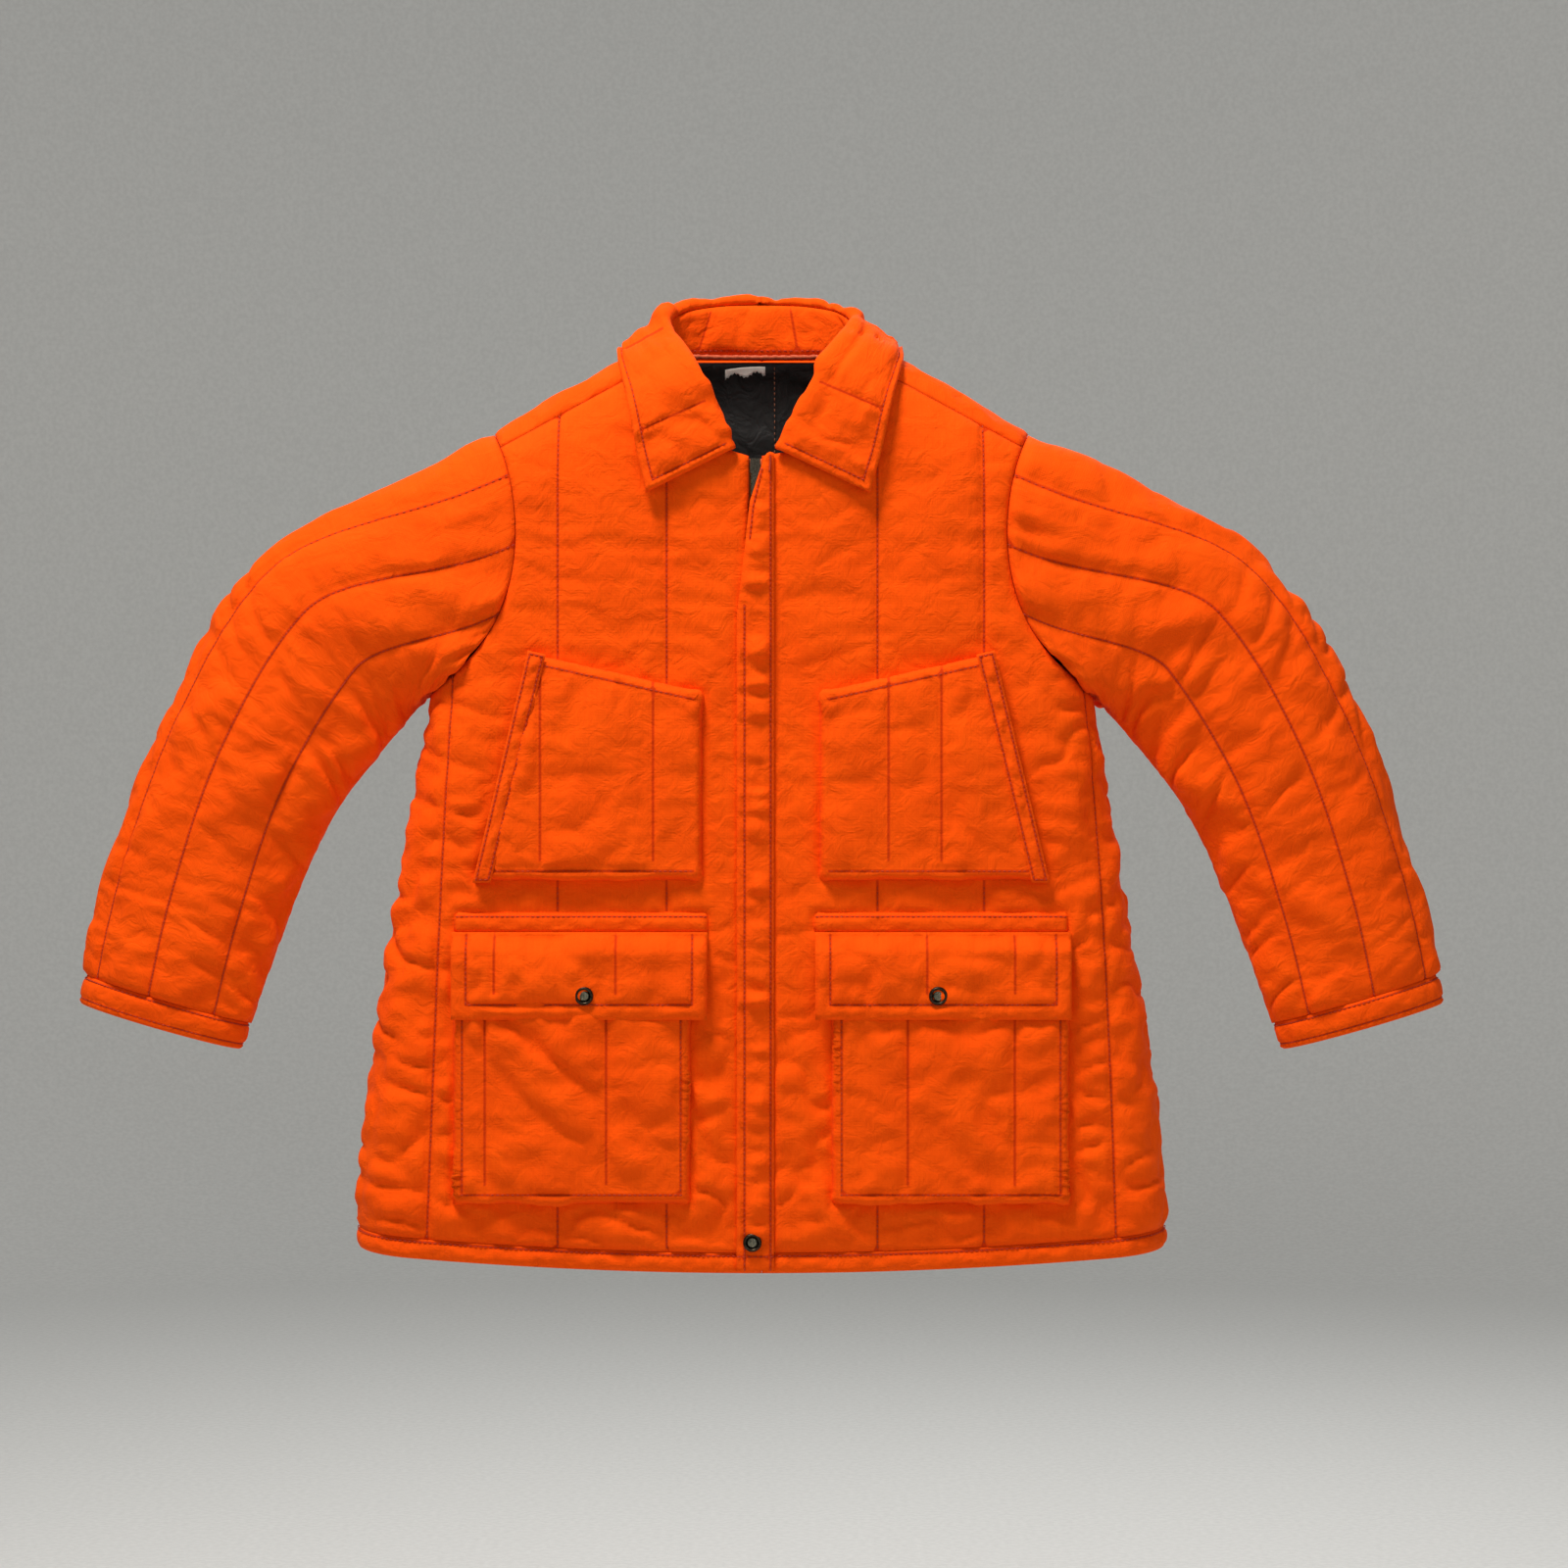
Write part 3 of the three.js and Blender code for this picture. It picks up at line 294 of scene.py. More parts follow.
def ripple(x, y, seed):
    """Smooth seeded noise from -1 to 1, with features about one unit across."""
    table = np.random.default_rng(seed).uniform(-1, 1, (64, 64))
    x, y = np.broadcast_arrays(np.asarray(x, float), np.asarray(y, float))
    i, j = np.floor(x).astype(int), np.floor(y).astype(int)
    fx, fy = x - i, y - j
    fx, fy = smooth(fx), smooth(fy)
    low = table[i % 64, j % 64] * (1 - fx) + table[(i + 1) % 64, j % 64] * fx
    high = table[i % 64, (j + 1) % 64] * (1 - fx) + table[(i + 1) % 64, (j + 1) % 64] * fx
    return low * (1 - fy) + high * fy


def crease(x, y, seed):
    """Rounded hills between sharper valleys, from -1 to 0, as crumpled padded cloth has them."""
    return -((1 - np.abs(ripple(x, y, seed))) ** 3)


def frame_of(place, a, b, toward):
    """A surface's points and unit normals, facing the way that toward() says."""
    h = 0.05
    normal = np.cross(place(a + h, b) - place(a - h, b), place(a, b + h) - place(a, b - h))
    length = np.linalg.norm(normal, axis=1, keepdims=True)
    normal = normal / np.maximum(length, 1e-9)
    points = place(a, b)
    facing = 1 if np.sum(normal * toward(points)) > 0 else -1
    return points, normal * facing, facing


# --- meshes ------------------------------------------------------------------------------------------------
def new_object(name, points, faces, flat=None, seam=None):
    """A smooth mesh object from points in millimetres. flat is the cloth's own coordinates, for its weave,
    and seam the distance to its nearest sewn row."""
    mesh = bpy.data.meshes.new(name)
    mesh.from_pydata([tuple(p) for p in np.asarray(points) * MM], [], [tuple(map(int, f)) for f in faces])
    mesh.update()
    mesh.shade_smooth()
    loops = np.zeros(len(mesh.loops), np.int32)
    mesh.loops.foreach_get("vertex_index", loops)
    if flat is not None:
        layer = mesh.uv_layers.new(name="cloth")
        layer.data.foreach_set("uv", (np.asarray(flat)[loops] * MM).astype(np.float32).ravel())
    if seam is not None:
        attribute = mesh.attributes.new("seam", "FLOAT", "POINT")
        attribute.data.foreach_set("value", np.asarray(seam, np.float32))
    made = bpy.data.objects.new(name, mesh)
    bpy.context.scene.collection.objects.link(made)
    return made


def ring_faces(rings, sides):
    """The quads between rings of points, each ring closed on itself."""
    return [(j * sides + k, j * sides + (k + 1) % sides, (j + 1) * sides + (k + 1) % sides,
             (j + 1) * sides + k) for j in range(rings - 1) for k in range(sides)]


# How the padded cloth settles: frames, and the cloth solver's own settings.
FRAMES, QUALITY, CLOTH_MASS = 16, 5, 0.3
STRETCH, SHEAR, BENDING, LEAST_SURPLUS = 15, 8, 1.5, 0.006


def settle(jobs):
    """Lets padded cloths swell and wrinkle between their seams, all at once. Each job is a dict of points in
    millimetres, faces, held (true where it is sewn), loose (how much of the surplus cloth each point has),
    pressure, surplus and limit; its points are replaced by the settled ones."""
    scene, made = bpy.context.scene, []
    for job in jobs:
        cloth = new_object("settling", job["points"], job["faces"])
        group = cloth.vertex_groups.new(name="sewn")
        group.add([int(i) for i in np.flatnonzero(job["held"])], 1.0, "REPLACE")
        loose = cloth.vertex_groups.new(name="loose")
        for i, weight in enumerate(job["loose"]):
            loose.add([i], float(weight), "REPLACE")
        settings = cloth.modifiers.new("cloth", "CLOTH").settings
        settings.quality = QUALITY
        settings.mass = CLOTH_MASS
        settings.tension_stiffness = settings.compression_stiffness = STRETCH
        settings.shear_stiffness = SHEAR
        settings.bending_stiffness = BENDING
        settings.vertex_group_mass = "sewn"
        settings.use_pressure = True
        settings.uniform_pressure_force = job["pressure"]
        settings.vertex_group_shrink = "loose"
        settings.shrink_min, settings.shrink_max = -LEAST_SURPLUS, -job["surplus"]
        settings.effector_weights.gravity = 0
        cloth.modifiers["cloth"].collision_settings.use_collision = False
        made.append(cloth)
    for number in range(1, FRAMES + 1):
        scene.frame_set(number)
    graph = bpy.context.evaluated_depsgraph_get()
    for job, cloth in zip(jobs, made):
        mesh = cloth.evaluated_get(graph).data
        settled = np.zeros(len(mesh.vertices) * 3, np.float32)
        mesh.vertices.foreach_get("co", settled)
        move = settled.reshape(-1, 3) / MM - job["points"]
        length = np.linalg.norm(move, axis=1, keepdims=True)
        job["points"] = job["points"] + move * np.minimum(1, job["limit"] / np.maximum(length, 1e-9))
    scene.frame_set(1)
    for cloth in made:
        mesh = cloth.data
        bpy.data.objects.remove(cloth)
        bpy.data.meshes.remove(mesh)


FAR = 8.0  # from every sewn row, where its shade has ended
PUCKER_MM, PUCKER_FADE = 9, 60  # from one pucker to the next, and over how much they change
RIM_REACH, ROW_REACH, PUFF_REACH = 14, 16, 16  # how far puckers and puff take to fade or rise


def sew(specs):
    """Makes padded cloths from their patterns: sets each up, lets them settle together, and closes each one
    with its back and its thread. A spec is a dict of name, outline, place(a, b), toward(points), thick, and
    whatever differs from the usual:

    step, backing: the mesh's edge length, outside and on the back
    lines: sewn rows, each a dict of path, deep, wide, pucker, rise and thread
    puff, roll, crumple(a, b): how far the cloth stands up, turns in at its rim, and is wrinkled
    covered(a, b): the distance to a piece that lies on the cloth, negative under it
    butt(a, b), butt_lift: where the cloth meets a neighbour, 0 to 1, and how high it lies there
    pressure, surplus, loose(a, b), limit, still: how it settles, or that it doesn't
    seed, rim_pucker, rim_shade, material: its wrinkles' seed, its rim and its finish; slot: not used"""
    jobs = []
    for spec in specs:
        spec = {"step": 4.0, "lines": [], "puff": 1.6, "roll": 2.0, "surplus": 0.03, "pressure": 3.0,
                "limit": 6.0, "crumple": None, "covered": None, "still": False, "backing": 14.0,
                "loose": None, "butt": None, "rim_shade": FAR, **spec}
        sewn = [line for line in spec["lines"] if line.get("deep", 0) > 0]
        flat, faces, rim = pattern_mesh(spec["outline"], [line["path"] for line in sewn], spec["step"])
        a, b = flat.T
        base, normal, facing = frame_of(spec["place"], a, b, spec["toward"])
        outline = np.asarray(spec["outline"], float)
        edge, edge_run = away(flat, outline, True)
        gap, lift, rows = edge.copy(), np.zeros(len(flat)), np.full(len(flat), FAR)
        rim_pucker, seed = spec.get("rim_pucker", 0.35), spec.get("seed", 1)
        wave = ripple(edge_run / PUCKER_MM, edge / PUCKER_FADE, seed + 50)
        pucker = RUMPLE * rim_pucker * wave * np.exp(-edge / RIM_REACH)
        for number, line in enumerate(sewn):
            off, run = away(flat, line["path"])
            gap, rows = np.minimum(gap, off), np.minimum(rows, off)
            lift -= line["deep"] * np.exp(-((off / line.get("wide", 2.6)) ** 2))
            wave = ripple(run / PUCKER_MM, off / PUCKER_FADE, seed + number) * np.exp(-off / ROW_REACH)
            pucker += RUMPLE * line.get("pucker", 0.5) * wave
        free = 1 - np.exp(-gap / 5)
        lift += spec["puff"] * (1 - np.exp(-gap / PUFF_REACH)) + pucker * (1 - np.exp(-gap / 3))
        if spec["crumple"]:
            lift += RUMPLE * spec["crumple"](a, b) * free
        low = -0.3 * spec["thick"]
        lift = np.where(lift < low, low + 0.15 * (lift - low), lift)
        lift -= spec["roll"] * np.exp(-edge / 2.6)
        if spec["butt"]:
            lift += (spec["butt_lift"] - lift) * spec["butt"](a, b)
        held = gap < 0.4 * spec["step"]
        if spec["covered"]:
            clear = spec["covered"](a, b)
            lift = np.where(clear < 0, -0.4, lift * ramp(clear, 0, 5))
            held |= clear < 2
        loose = spec["loose"](a, b) if spec["loose"] else np.ones(len(flat))
        settled = {"points": base + normal * lift[:, None], "faces": faces, "held": held, "loose": loose, **{
            key: spec[key] for key in ("pressure", "surplus", "limit")}}
        if facing < 0:
            settled["faces"] = faces[:, ::-1]
        # seam is what the material paints shade from: near 0 in the sewn grooves, and at the rim too where
        # rim_shade is small.
        seam = np.minimum(rows, edge + spec["rim_shade"])
        jobs.append((spec, settled, flat, rim, base, normal, facing, seam, lift))
    settle([job[1] for job in jobs if not job[0]["still"]])
    return [finish_cloth(*job) for job in jobs]


def finish_cloth(spec, settled, flat, rim, base, normal, facing, seam, lift):
    """Closes a settled cloth with a plainer back and a rim, gives it its material and sews its thread."""
    outer = settled["points"]
    inward = np.sum((outer - base) * normal, axis=1)
    outer = outer + normal * (np.maximum(inward, np.minimum(lift, -1.2)) - inward)[:, None]
    back_flat, back_faces, back_rim = pattern_mesh(spec["outline"], [], spec["backing"])
    a, b = back_flat.T
    back, back_normal, _ = frame_of(spec["place"], a, b, spec["toward"])
    back = back - back_normal * spec["thick"]
    count = len(outer)
    faces = [tuple(f) for f in settled["faces"]]
    back_faces = back_faces if facing < 0 else back_faces[:, ::-1]
    faces += [tuple(f + count) for f in back_faces]
    after, back_after = np.roll(rim, -1), np.roll(back_rim, -1)
    for p, q, r, s in zip(rim, after, back_after + count, back_rim + count):
        faces.append((s, r, q, p) if facing > 0 else (p, q, r, s))
    points = np.vstack([outer, back])
    cloth = new_object(spec["name"], points, faces, np.vstack([flat, back_flat]),
                       np.concatenate([seam, np.full(len(back), FAR)]))
    cloth.data.materials.append(material(spec.get("material", "duck")))
    made = [cloth]
    rows = [line for line in spec["lines"] if line.get("thread", True)]
    if rows:
        made.append(thread(spec, rows))
    return made


def thread(spec, rows):
    """The stitches of a cloth's sewn lines, each one a bead of thread that dips into the cloth."""
    settings = bpy.context.scene.jacket
    sides, rings = 5, ((-0.5, 0.3), (-0.25, 1.0), (0.25, 1.0), (0.5, 0.3))
    points, faces, total = [], [], 0
    outline = np.asarray(spec["outline"], float)
    for row in rows:
        flat, along = even(row["path"], settings.stitch_pitch / MM)
        keep = within(flat, outline) & (away(flat, outline, True)[0] > 0.8)
        flat, along = flat[keep], along[keep]
        if not len(flat):
            continue
        a, b = flat.T
        centre, normal, _ = frame_of(spec["place"], a, b, spec["toward"])
        ahead = spec["place"](a + along[:, 0] * 0.5, b + along[:, 1] * 0.5) - spec["place"](a, b)
        ahead /= np.maximum(np.linalg.norm(ahead, axis=1, keepdims=True), 1e-9)
        side = np.cross(normal, ahead)
        centre = centre + normal * (row.get("rise", 0.25) - row.get("deep", 0))
        length, radius = settings.stitch_length / MM, settings.thread_radius / MM
        ring = []
        for part, share in rings:
            for k in range(sides):
                turn = 2 * np.pi * k / sides
                dip = -0.35 if abs(part) > 0.4 else 0.0
                ring.append(centre + ahead * part * length + side * math.cos(turn) * radius * share
                            + normal * (math.sin(turn) * radius * share + dip))
        block = np.stack(ring, axis=1).reshape(-1, 3)
        start = total + np.arange(len(flat)) * sides * len(rings)
        for quad in ring_faces(len(rings), sides):
            faces += [tuple(s + corner for corner in quad) for s in start]
        last = (len(rings) - 1) * sides
        faces += [tuple(s + k for k in reversed(range(sides))) for s in start]
        faces += [tuple(s + last + k for k in range(sides)) for s in start]
        points.append(block)
        total += len(block)
    made = new_object(spec["name"] + "_stitches", np.vstack(points), faces)
    made.data.materials.append(material(spec.get("thread", "thread")))
    return made


def ride_all(objects, body):
    for made in objects:
        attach(made, body)


def blend_all(objects):
    """Bakes each piece's transform into its mesh."""
    for made in objects:
        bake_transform(made)


def tube(name, path, radius, sides, twist):
    """A cord along a path in millimetres; twist, in turns a millimetre, gives it a laid surface."""
    path = np.asarray(path, float)
    ahead = np.gradient(path, axis=0)
    ahead /= np.linalg.norm(ahead, axis=1, keepdims=True)
    side = np.cross(ahead, (0, 0, 1.0))
    side /= np.maximum(np.linalg.norm(side, axis=1, keepdims=True), 1e-6)
    up = np.cross(side, ahead)
    run = np.concatenate([[0], np.cumsum(np.linalg.norm(np.diff(path, axis=0), axis=1))])
    rings = []
    for k in range(sides):
        turn = 2 * np.pi * k / sides
        lobe = radius * (1 + 0.12 * np.cos(2 * turn + 2 * np.pi * twist * run))[:, None]
        rings.append(path + lobe * (side * math.cos(turn) + up * math.sin(turn)))
    points = np.stack(rings, axis=1).reshape(-1, 3)
    faces = ring_faces(len(path), sides)
    faces.append(tuple(reversed(range(sides))))
    faces.append(tuple((len(path) - 1) * sides + k for k in range(sides)))
    return new_object(name, points, faces)


def lathe(name, profile, x, face, z, sides=48):
    """A turned piece on an axis out of the jacket's front; the profile is (radius, height) pairs."""
    profile = np.asarray(profile, float)
    turn = np.arange(sides) * 2 * np.pi / sides
    points = [(x, face - profile[0][1], z)]
    rings = profile[1:-1]
    for radius, height in rings:
        points += [(x + radius * math.cos(t), face - height, z + radius * math.sin(t)) for t in turn]
    points.append((x, face - profile[-1][1], z))
    faces, last = [], 1 + (len(rings) - 1) * sides
    for k in range(sides):
        n = (k + 1) % sides
        faces.append((0, 1 + k, 1 + n))
        faces += [
            (1 + j * sides + k, 1 + (j + 1) * sides + k, 1 + (j + 1) * sides + n, 1 + j * sides + n)
            for j in range(len(rings) - 1)
        ]
        faces.append((len(points) - 1, last + n, last + k))
    return new_object(name, points, faces)


# --- materials ---------------------------------------------------------------------------------------------
def colour(code):
    """An sRGB hex colour as linear RGBA."""
    parts = [int(code[i:i + 2], 16) / 255 for i in (1, 3, 5)]
    return [p / 12.92 if p <= 0.04045 else ((p + 0.055) / 1.055) ** 2.4 for p in parts] + [1.0]


def node(tree, kind, links=None, **settings):
    """Adds a node. links are its inputs, by name or number: a socket to link, or a value to set."""
    made = tree.nodes.new(kind)
    for key, value in settings.items():
        setattr(made, key, value)
    for key, value in (links or {}).items():
        if isinstance(value, bpy.types.NodeSocket):
            tree.links.new(value, made.inputs[key])
        else:
            made.inputs[key].default_value = value
    return made


def new_material(name):
    made = bpy.data.materials.new(name)
    made.use_nodes = True
    tree = made.node_tree
    tree.nodes.clear()
    shader = node(tree, "ShaderNodeBsdfPrincipled")
    node(tree, "ShaderNodeOutputMaterial", {"Surface": shader.outputs[0]})
    return made, tree, shader


def mixed(tree, factor, a, b, blend="MIX"):
    return node(tree, "ShaderNodeMix", {0: factor, 6: a, 7: b}, data_type="RGBA", blend_type=blend).outputs[2]


def woven(name, light, deep, groove_shade, thread_mm, rough, bump, mottle=0.5, crease_share=0.0):
    """Woven cloth: mottled dye, slubs along the warp, a weave in relief, and painted shade: a darker colour
    mixed in along the sewn grooves and shaded rims.
    """
    made, tree, shader = new_material(name)
    cloth = node(tree, "ShaderNodeUVMap", uv_map="cloth").outputs[0]
    dye = node(tree, "ShaderNodeTexNoise", {"Vector": cloth, "Scale": 1 / 0.07, "Detail": 4.0})
    slub_map = node(tree, "ShaderNodeMapping", {"Vector": cloth, "Scale": (1 / 0.0025, 1 / 0.03, 1)})
    slub = node(tree, "ShaderNodeTexNoise", {"Vector": slub_map.outputs[0], "Scale": 1.0, "Detail": 3.0})
    spread = node(tree, "ShaderNodeMapRange", {0: dye.outputs[0], 1: 0.3, 2: 0.7, 3: 0.0, 4: mottle})
    fleck = node(tree, "ShaderNodeMapRange", {0: slub.outputs[0], 1: 0.35, 2: 0.75, 3: 0.0, 4: 0.35})
    base = mixed(tree, spread.outputs[0], colour(light), colour(deep))
    base = mixed(tree, fleck.outputs[0], base, colour(deep))
    # Painted shade: the groove colour darkens the cloth within about 2 mm of a sewn row or a shaded rim, read
    # from the seam attribute.
    seam = node(tree, "ShaderNodeAttribute", attribute_name="seam")
    seam_shade = node(tree, "ShaderNodeMapRange", {0: seam.outputs["Fac"], 1: 0.2, 2: 1.9, 3: 0.8, 4: 0.0},
                 interpolation_type="SMOOTHSTEP")
    base = mixed(tree, seam_shade.outputs[0], base, colour(groove_shade))
    warp = node(tree, "ShaderNodeTexWave", {"Vector": cloth, "Scale": 0.314 / (thread_mm * MM)},
                bands_direction="X", wave_profile="SIN")
    weft = node(tree, "ShaderNodeTexWave", {"Vector": cloth, "Scale": 0.314 / (thread_mm * MM)},
                bands_direction="Y", wave_profile="SIN")
    weave = node(tree, "ShaderNodeMath", {0: warp.outputs["Fac"], 1: weft.outputs["Fac"]},
                 operation="MULTIPLY")
    fuzz = node(tree, "ShaderNodeTexNoise", {"Vector": cloth, "Scale": 1 / 0.004, "Detail": 5.0})
    relief = node(tree, "ShaderNodeMath", {0: weave.outputs[0], 1: fuzz.outputs[0]}, operation="ADD")
    # Creases too fine for the mesh, about 12 mm apart.
    folds = node(tree, "ShaderNodeTexNoise", {"Vector": cloth, "Scale": 1 / 0.018, "Detail": 3.0,
                                              "Roughness": 0.6, "Distortion": 0.8})
    soft = node(tree, "ShaderNodeBump", {"Height": folds.outputs[0], "Strength": crease_share,
                                         "Distance": 0.004})
    fine = node(tree, "ShaderNodeBump", {"Height": relief.outputs[0], "Strength": bump, "Distance": 0.0004,
                                         "Normal": soft.outputs[0]})
    shader.inputs["Roughness"].default_value = rough
    tree.links.new(base, shader.inputs["Base Color"])
    tree.links.new(fine.outputs[0], shader.inputs["Normal"])
    return made, shader


def make_duck():
    """Cotton duck, dyed fluorescent orange and brushed: flat and matt, with a soft bloom at its edges."""
    settings = bpy.context.scene.jacket
    made, shader = woven("brushed_cotton_duck", settings.cloth_light, settings.cloth_deep,
                         settings.cloth_groove, 1.3, 0.88, 0.35, crease_share=0.6)
    shader.inputs["Sheen Weight"].default_value = 0.05
    shader.inputs["Sheen Roughness"].default_value = 0.5
    shader.inputs["Sheen Tint"].default_value = colour("#FF7A30")
    shader.inputs["Specular IOR Level"].default_value = 0.08
    return made


def make_lining():
    """Nylon taffeta, calendered: charcoal, with a low broad shine along its wrinkles."""
    made, shader = woven("calendered_nylon_taffeta", "#171514", "#0F0E0D", "#0A0908", 0.9, 0.5, 0.15,
                         crease_share=0.5)
    shader.inputs["Sheen Weight"].default_value = 0.05
    shader.inputs["Specular IOR Level"].default_value = 0.3
    shader.inputs["Sheen Tint"].default_value = colour("#6A6764")
    return made


def make_tape():
    """Polyester tape, woven in a herringbone: duller than the shell and a little darker."""
    return woven("woven_polyester_tape", "#D9560F", "#B84409", "#8A2E05", 0.8, 0.8, 0.4)[0]


def make_label():
    """Satin ribbon, slit and washed: off-white, mottled with a greyer cream."""
    made, shader = woven("washed_satin_ribbon", "#FFFAF0", "#E4DCCC", "#BDB2A0", 0.6, 0.5, 0.3)
    shader.inputs["Sheen Weight"].default_value = 0.3
    return made


def plain(name, base, deep, grain_mm, rough, metallic=0.0, bump=0.1):
    """A fine-grained finish: two close colours, roughness and relief that follow the grain."""
    made, tree, shader = new_material(name)
    where = node(tree, "ShaderNodeTexCoord").outputs["Object"]
    grain = node(tree, "ShaderNodeTexNoise", {"Vector": where, "Scale": 1 / (grain_mm * MM), "Detail": 6.0})
    spread = node(tree, "ShaderNodeMapRange", {0: grain.outputs[0], 1: 0.35, 2: 0.65})
    finish = node(tree, "ShaderNodeMapRange", {0: grain.outputs[0], 3: rough * 0.8, 4: rough * 1.2})
    relief = node(tree, "ShaderNodeBump", {"Height": grain.outputs[0], "Strength": bump, "Distance": 0.0002})
    tree.links.new(mixed(tree, spread.outputs[0], colour(base), colour(deep)), shader.inputs["Base Color"])
    tree.links.new(finish.outputs[0], shader.inputs["Roughness"])
    tree.links.new(relief.outputs[0], shader.inputs["Normal"])
    shader.inputs["Metallic"].default_value = metallic
    return made


MAKERS = {
    "duck": make_duck,
    "lining": make_lining,
    "tape": make_tape,
    "label": make_label,
    # Cotton thread, waxed and faded: a tan line on the dark lining.
    "lining_thread": lambda: plain("waxed_cotton_thread", "#9A5C3C", "#7A4228", 1.2, 0.7),
    # Spun polyester thread: its colour is a deep red-orange with the groove's painted shade in it, so it
    # reads as a fine dark red line.
    "thread": lambda: plain("spun_polyester_thread", bpy.context.scene.jacket.thread_shaded_colour, "#A82C06",
                            1.2, 0.7),
    # Bias binding of cotton poplin, faded: salmon, chalky on its rounded edge.
    "piping": lambda: plain("bias_cut_poplin_binding", "#D0603A", "#B84A26", 2.0, 0.8, bump=0.4),
    # Brass snap cap, plated in antique gunmetal: dark with brown worn through on its ring.
    "gunmetal": lambda: plain("antiqued_gunmetal_plate", "#4A4034", "#231F1B", 1.5, 0.34, 1.0),
    # The cap's middle, burnished: a paler greenish grey where fingers press.
    "burnished": lambda: plain("burnished_snap_face", "#8E8B76", "#4F4C42", 1.2, 0.3, 1.0),
    # Zinc zip slider, die cast, antiqued and tumbled: brown-grey metal with rounded glints.
    "zinc": lambda: plain("antiqued_die_cast_zinc", "#6E6658", "#3E3932", 1.0, 0.34, 1.0),
    # Brass zip teeth, stamped and darkened.
    "teeth": lambda: plain("darkened_stamped_brass", "#8A7A58", "#4E4636", 0.8, 0.38, 1.0),
}
_materials = {}


def material(key):
    if key not in _materials:
        _materials[key] = MAKERS[key]()
    return _materials[key]


def refinish(name, key):
    """Gives a metal piece of the frame its own finish."""
    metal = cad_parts[name]
    metal.data.materials.clear()
    metal.data.materials.append(material(key))
    return metal


# --- settings ----------------------------------------------------------------------------------------------
class JacketSettings(bpy.types.PropertyGroup):
    """The sizes and colours that a maker would change."""

    cloth_light: bpy.props.StringProperty(
        name="Cloth", description="The shell's orange as sRGB hex", default="#FF5804")
    cloth_deep: bpy.props.StringProperty(
        name="Cloth, deep", description="The darker orange of its mottling", default="#F24A02")
    # Painted shade: the darker orange mixed into the sewn grooves and the rims where pieces meet.
    cloth_groove: bpy.props.StringProperty(
        name="Cloth in seams", description="The orange in the sewn grooves", default="#C22C06")
    # The thread's colour, with the painted shade of the groove it lies in.
    thread_shaded_colour: bpy.props.StringProperty(
        name="Thread", description="The thread's colour as sRGB hex", default="#B83406")
    stitch_pitch: bpy.props.FloatProperty(
        name="Stitch pitch", description="From one stitch to the next, drawn coarser than sewn",
        default=0.0042, min=0.002, max=0.01, unit="LENGTH")
    stitch_length: bpy.props.FloatProperty(
        name="Stitch length", description="The thread that shows of one stitch", default=0.0031,
        min=0.001, max=0.01, unit="LENGTH")
    thread_radius: bpy.props.FloatProperty(
        name="Thread radius", description="Half the thread's thickness", default=0.00042,
        min=0.0001, max=0.002, unit="LENGTH")
    light_power: bpy.props.FloatProperty(
        name="Light", description="The overhead panel's power", default=92.0, min=0.0, unit="POWER")


# --- the stage ---------------------------------------------------------------------------------------------
LENS_MM, SENSOR_MM = 85.0, 36.0
VIEW_WIDTH, VIEW_X, VIEW_Z = 1319, 19, -364
# The floor's bowl in metres: its flat radius, its curve, its height, and the wall above it.
BOWL_FLAT, BOWL_CURVE, BOWL_LOW, BOWL_WALL, BOWL_SIDES = 4.2, 1.3, -1.35, (1.2, 3.4), 96
# Each light: its size in metres, its share of the power, its place and its tint.
LIGHTS = {
    "overhead_panel": (0.7, 1.0, (-0.7, -1.05, 2.2), "#FFF8F0"),
    "front_panel_light": (2.2, 0.07, (0.9, -2.6, 0.2), "#FFFFFF"),
    "rear_panel": (1.8, 0.4, (0.6, 2.2, 1.5), "#FFFFFF"),
}
LIT_PLACE = (0, 0, -0.4)
WORLD_COLOUR, WORLD_STRENGTH = "#E6E8EA", 0.42


def add_panel_light(name, size, power, place, tint):
    light = bpy.data.lights.new(name, "AREA")
    light.shape, light.size, light.energy = "SQUARE", size, power
    light.color = colour(tint)[:3]
    made = bpy.data.objects.new(name, light)
    bpy.context.scene.collection.objects.link(made)
    made.location = place
    made.rotation_euler = (Vector(LIT_PLACE) - Vector(place)).to_track_quat("-Z", "Y").to_euler()
    return made


